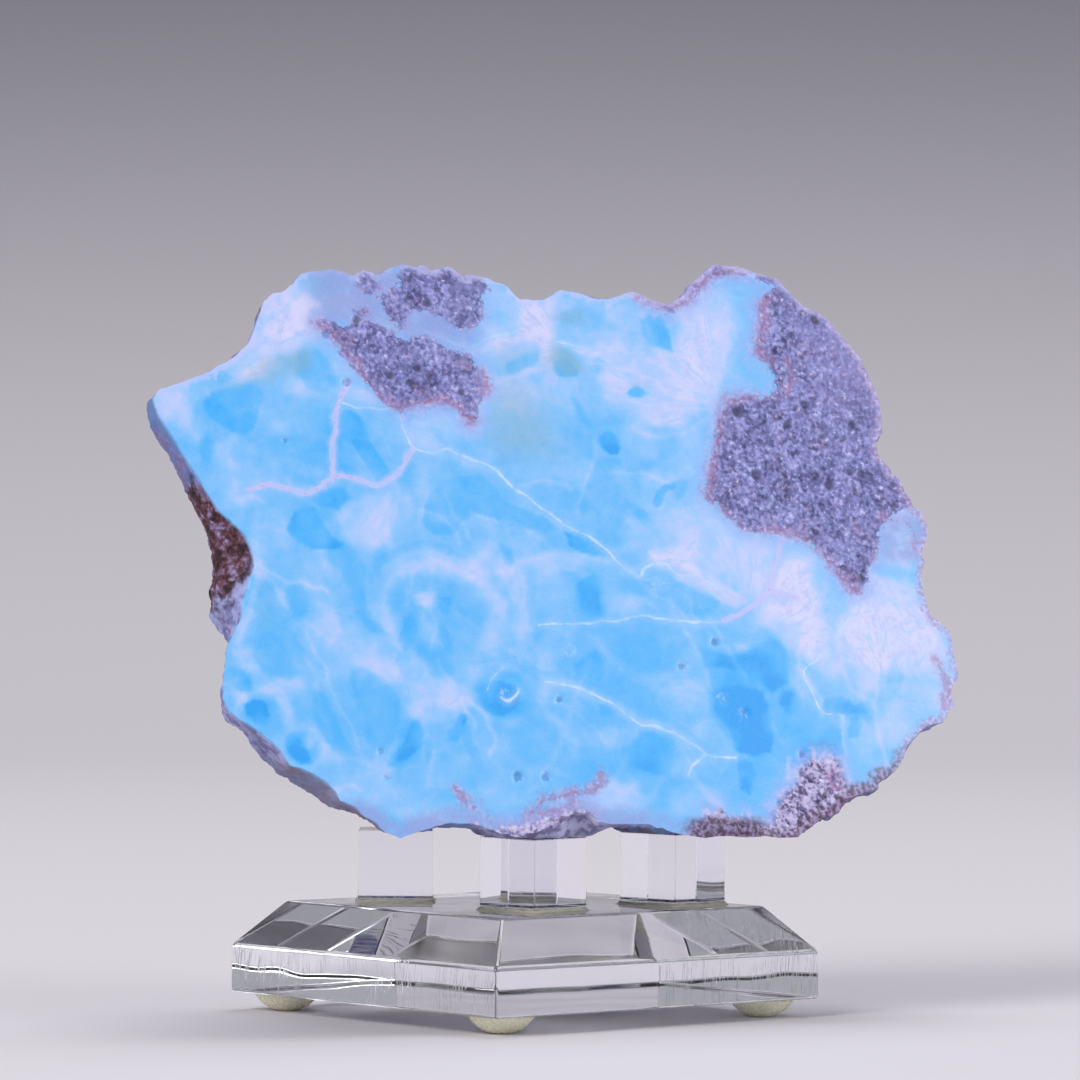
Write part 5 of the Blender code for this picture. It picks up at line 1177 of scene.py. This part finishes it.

# Broken sides and back: a weathered skin over the same blue and matrix, with painted
# light on the down-facing front wall at the foot
broken = marking("broken")
behind = band(where.outputs[1], 2.5, 12.0)
skin_mix = band(sum_of(sum_of(broad, medium), times(behind, 0.10)), -0.06, 0.10)
weathered_and_painted_light = tint(skin_mix, tint(0.55, colour, paint(98, 108, 156)), stony)
weathered_and_painted_light = tint(times(band(sum_of(medium, times(small, 0.6)), 0.04, 0.16), 0.75), weathered_and_painted_light, paint(112, 86, 96))
weathered_and_painted_light = tint(times(band(fine, 0.10, 0.24), 0.5), weathered_and_painted_light, paint(176, 164, 190))
weathered_and_painted_light = tint(times(behind, band(sum_of(broad, small), -0.15, 0.2, 0.1, 0.6)), weathered_and_painted_light, paint(124, 118, 146))
notch = add(tree, "ShaderNodeVectorMath", {0: local, 1: (-42.0, 6.0, 1.2)}, operation="DISTANCE").outputs["Value"]
notch = band(sum_of(notch, sum_of(times(medium, 9.0), times(small, 5.0))), 9.6, 6.2)
dark_crust = add(tree, "ShaderNodeValToRGB", {0: sum_of(sum_of(times(fine, 1.4), times(small, 1.8)), sum_of(times(medium, 0.6), 0.46))})
dark_crust.color_ramp.elements[0].color = paint(26, 14, 24)
dark_crust.color_ramp.elements[1].color = paint(178, 166, 204)
for position, shade in ((0.3, paint(58, 28, 40)), (0.5, paint(104, 58, 68)), (0.66, paint(110, 92, 124)), (0.8, paint(142, 126, 166))):
    dark_crust.color_ramp.elements.new(position).color = shade
lower_left = times(band(where.outputs[0], -16.0, -24.0), band(where.outputs[2], -14.0, -20.0))
weathered_and_painted_light = tint(times(lower_left, band(small, -0.15, 0.15, 0.45, 0.85)), weathered_and_painted_light, paint(142, 122, 148))
under_notch = times(band(where.outputs[0], -37.0, -38.5), band(where.outputs[2], -2.0, -5.5))
weathered_and_painted_light = tint(times(under_notch, 0.8), weathered_and_painted_light,
                 tint(band(small, -0.12, 0.12), paint(116, 112, 162), paint(170, 174, 226)))
tip_wall = times(band(where.outputs[0], -40.0, -43.0), band(where.outputs[2], 6.0, 9.0))
weathered_and_painted_light = tint(times(tip_wall, 0.7), weathered_and_painted_light, tint(band(medium, -0.1, 0.15), paint(92, 118, 176), paint(122, 116, 166)))
# The down-facing front wall at the foot is painted paler: partly its own lighter rock, partly painted light that lifts
# it out of its shade.
front_foot_painted_light = times(times(band(where.outputs[2], -31.0, -33.5), band(where.outputs[1], 9.0, 4.0)),
                   times(band(where.outputs[0], -17.0, -13.0), band(where.outputs[0], 13.0, 11.0)))
weathered_and_painted_light = tint(times(front_foot_painted_light, 0.75), weathered_and_painted_light,
                 tint(band(small, -0.1, 0.1), paint(138, 128, 170), paint(206, 208, 246)))
weathered_and_painted_light = tint(notch, weathered_and_painted_light, dark_crust.outputs[0])
colour = tint(broken, colour, weathered_and_painted_light)
tree.links.new(colour, shader.inputs["Base Color"])

# Polish on the blue, less on the matrix, none on the broken sides
dull = sum_of(times(stony_share, 0.16), times(band(fine, -0.2, 0.3), 0.08))
dull = sum_of(sum_of(dull, 0.24), times(broken, 0.42))
tree.links.new(dull, shader.inputs["Roughness"])
shader.inputs["Specular IOR Level"].default_value = 0.45
height = sum_of(times(fine, 0.35), times(speck.outputs[0], 0.35))
height = sum_of(height, times(hole, -0.7))
face_height = sum_of(times(in_matrix, height), times(fine, 0.02))
rough_height = sum_of(times(height, 0.9), sum_of(small, times(cloud(0.25, 3.0, 31.0), 0.5)))
height = sum_of(times(face_height, sum_of(1.0, broken, "SUBTRACT")), times(rough_height, broken))
height = sum_of(height, times(in_pit, -0.6))
relief = add(tree, "ShaderNodeBump", {"Height": height, "Strength": 0.55, "Distance": 0.00035})
tree.links.new(relief.outputs[0], shader.inputs["Normal"])

stone = piece("polished_larimar", rock, larimar)
for name, values in markings.items():
    stone.data.attributes.new(name, "FLOAT", "POINT").data.foreach_set("value", values.astype(np.float32))
rays = np.stack([ray_values[:, 0], own, ray_values[:, 1]], axis=1)
stone.data.attributes.new("ray", "FLOAT_VECTOR", "POINT").data.foreach_set("vector", rays.astype(np.float32).ravel())
for face in stone.data.polygons:
    face.use_smooth = True
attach(stone, "root")
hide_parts("larimar_stone")
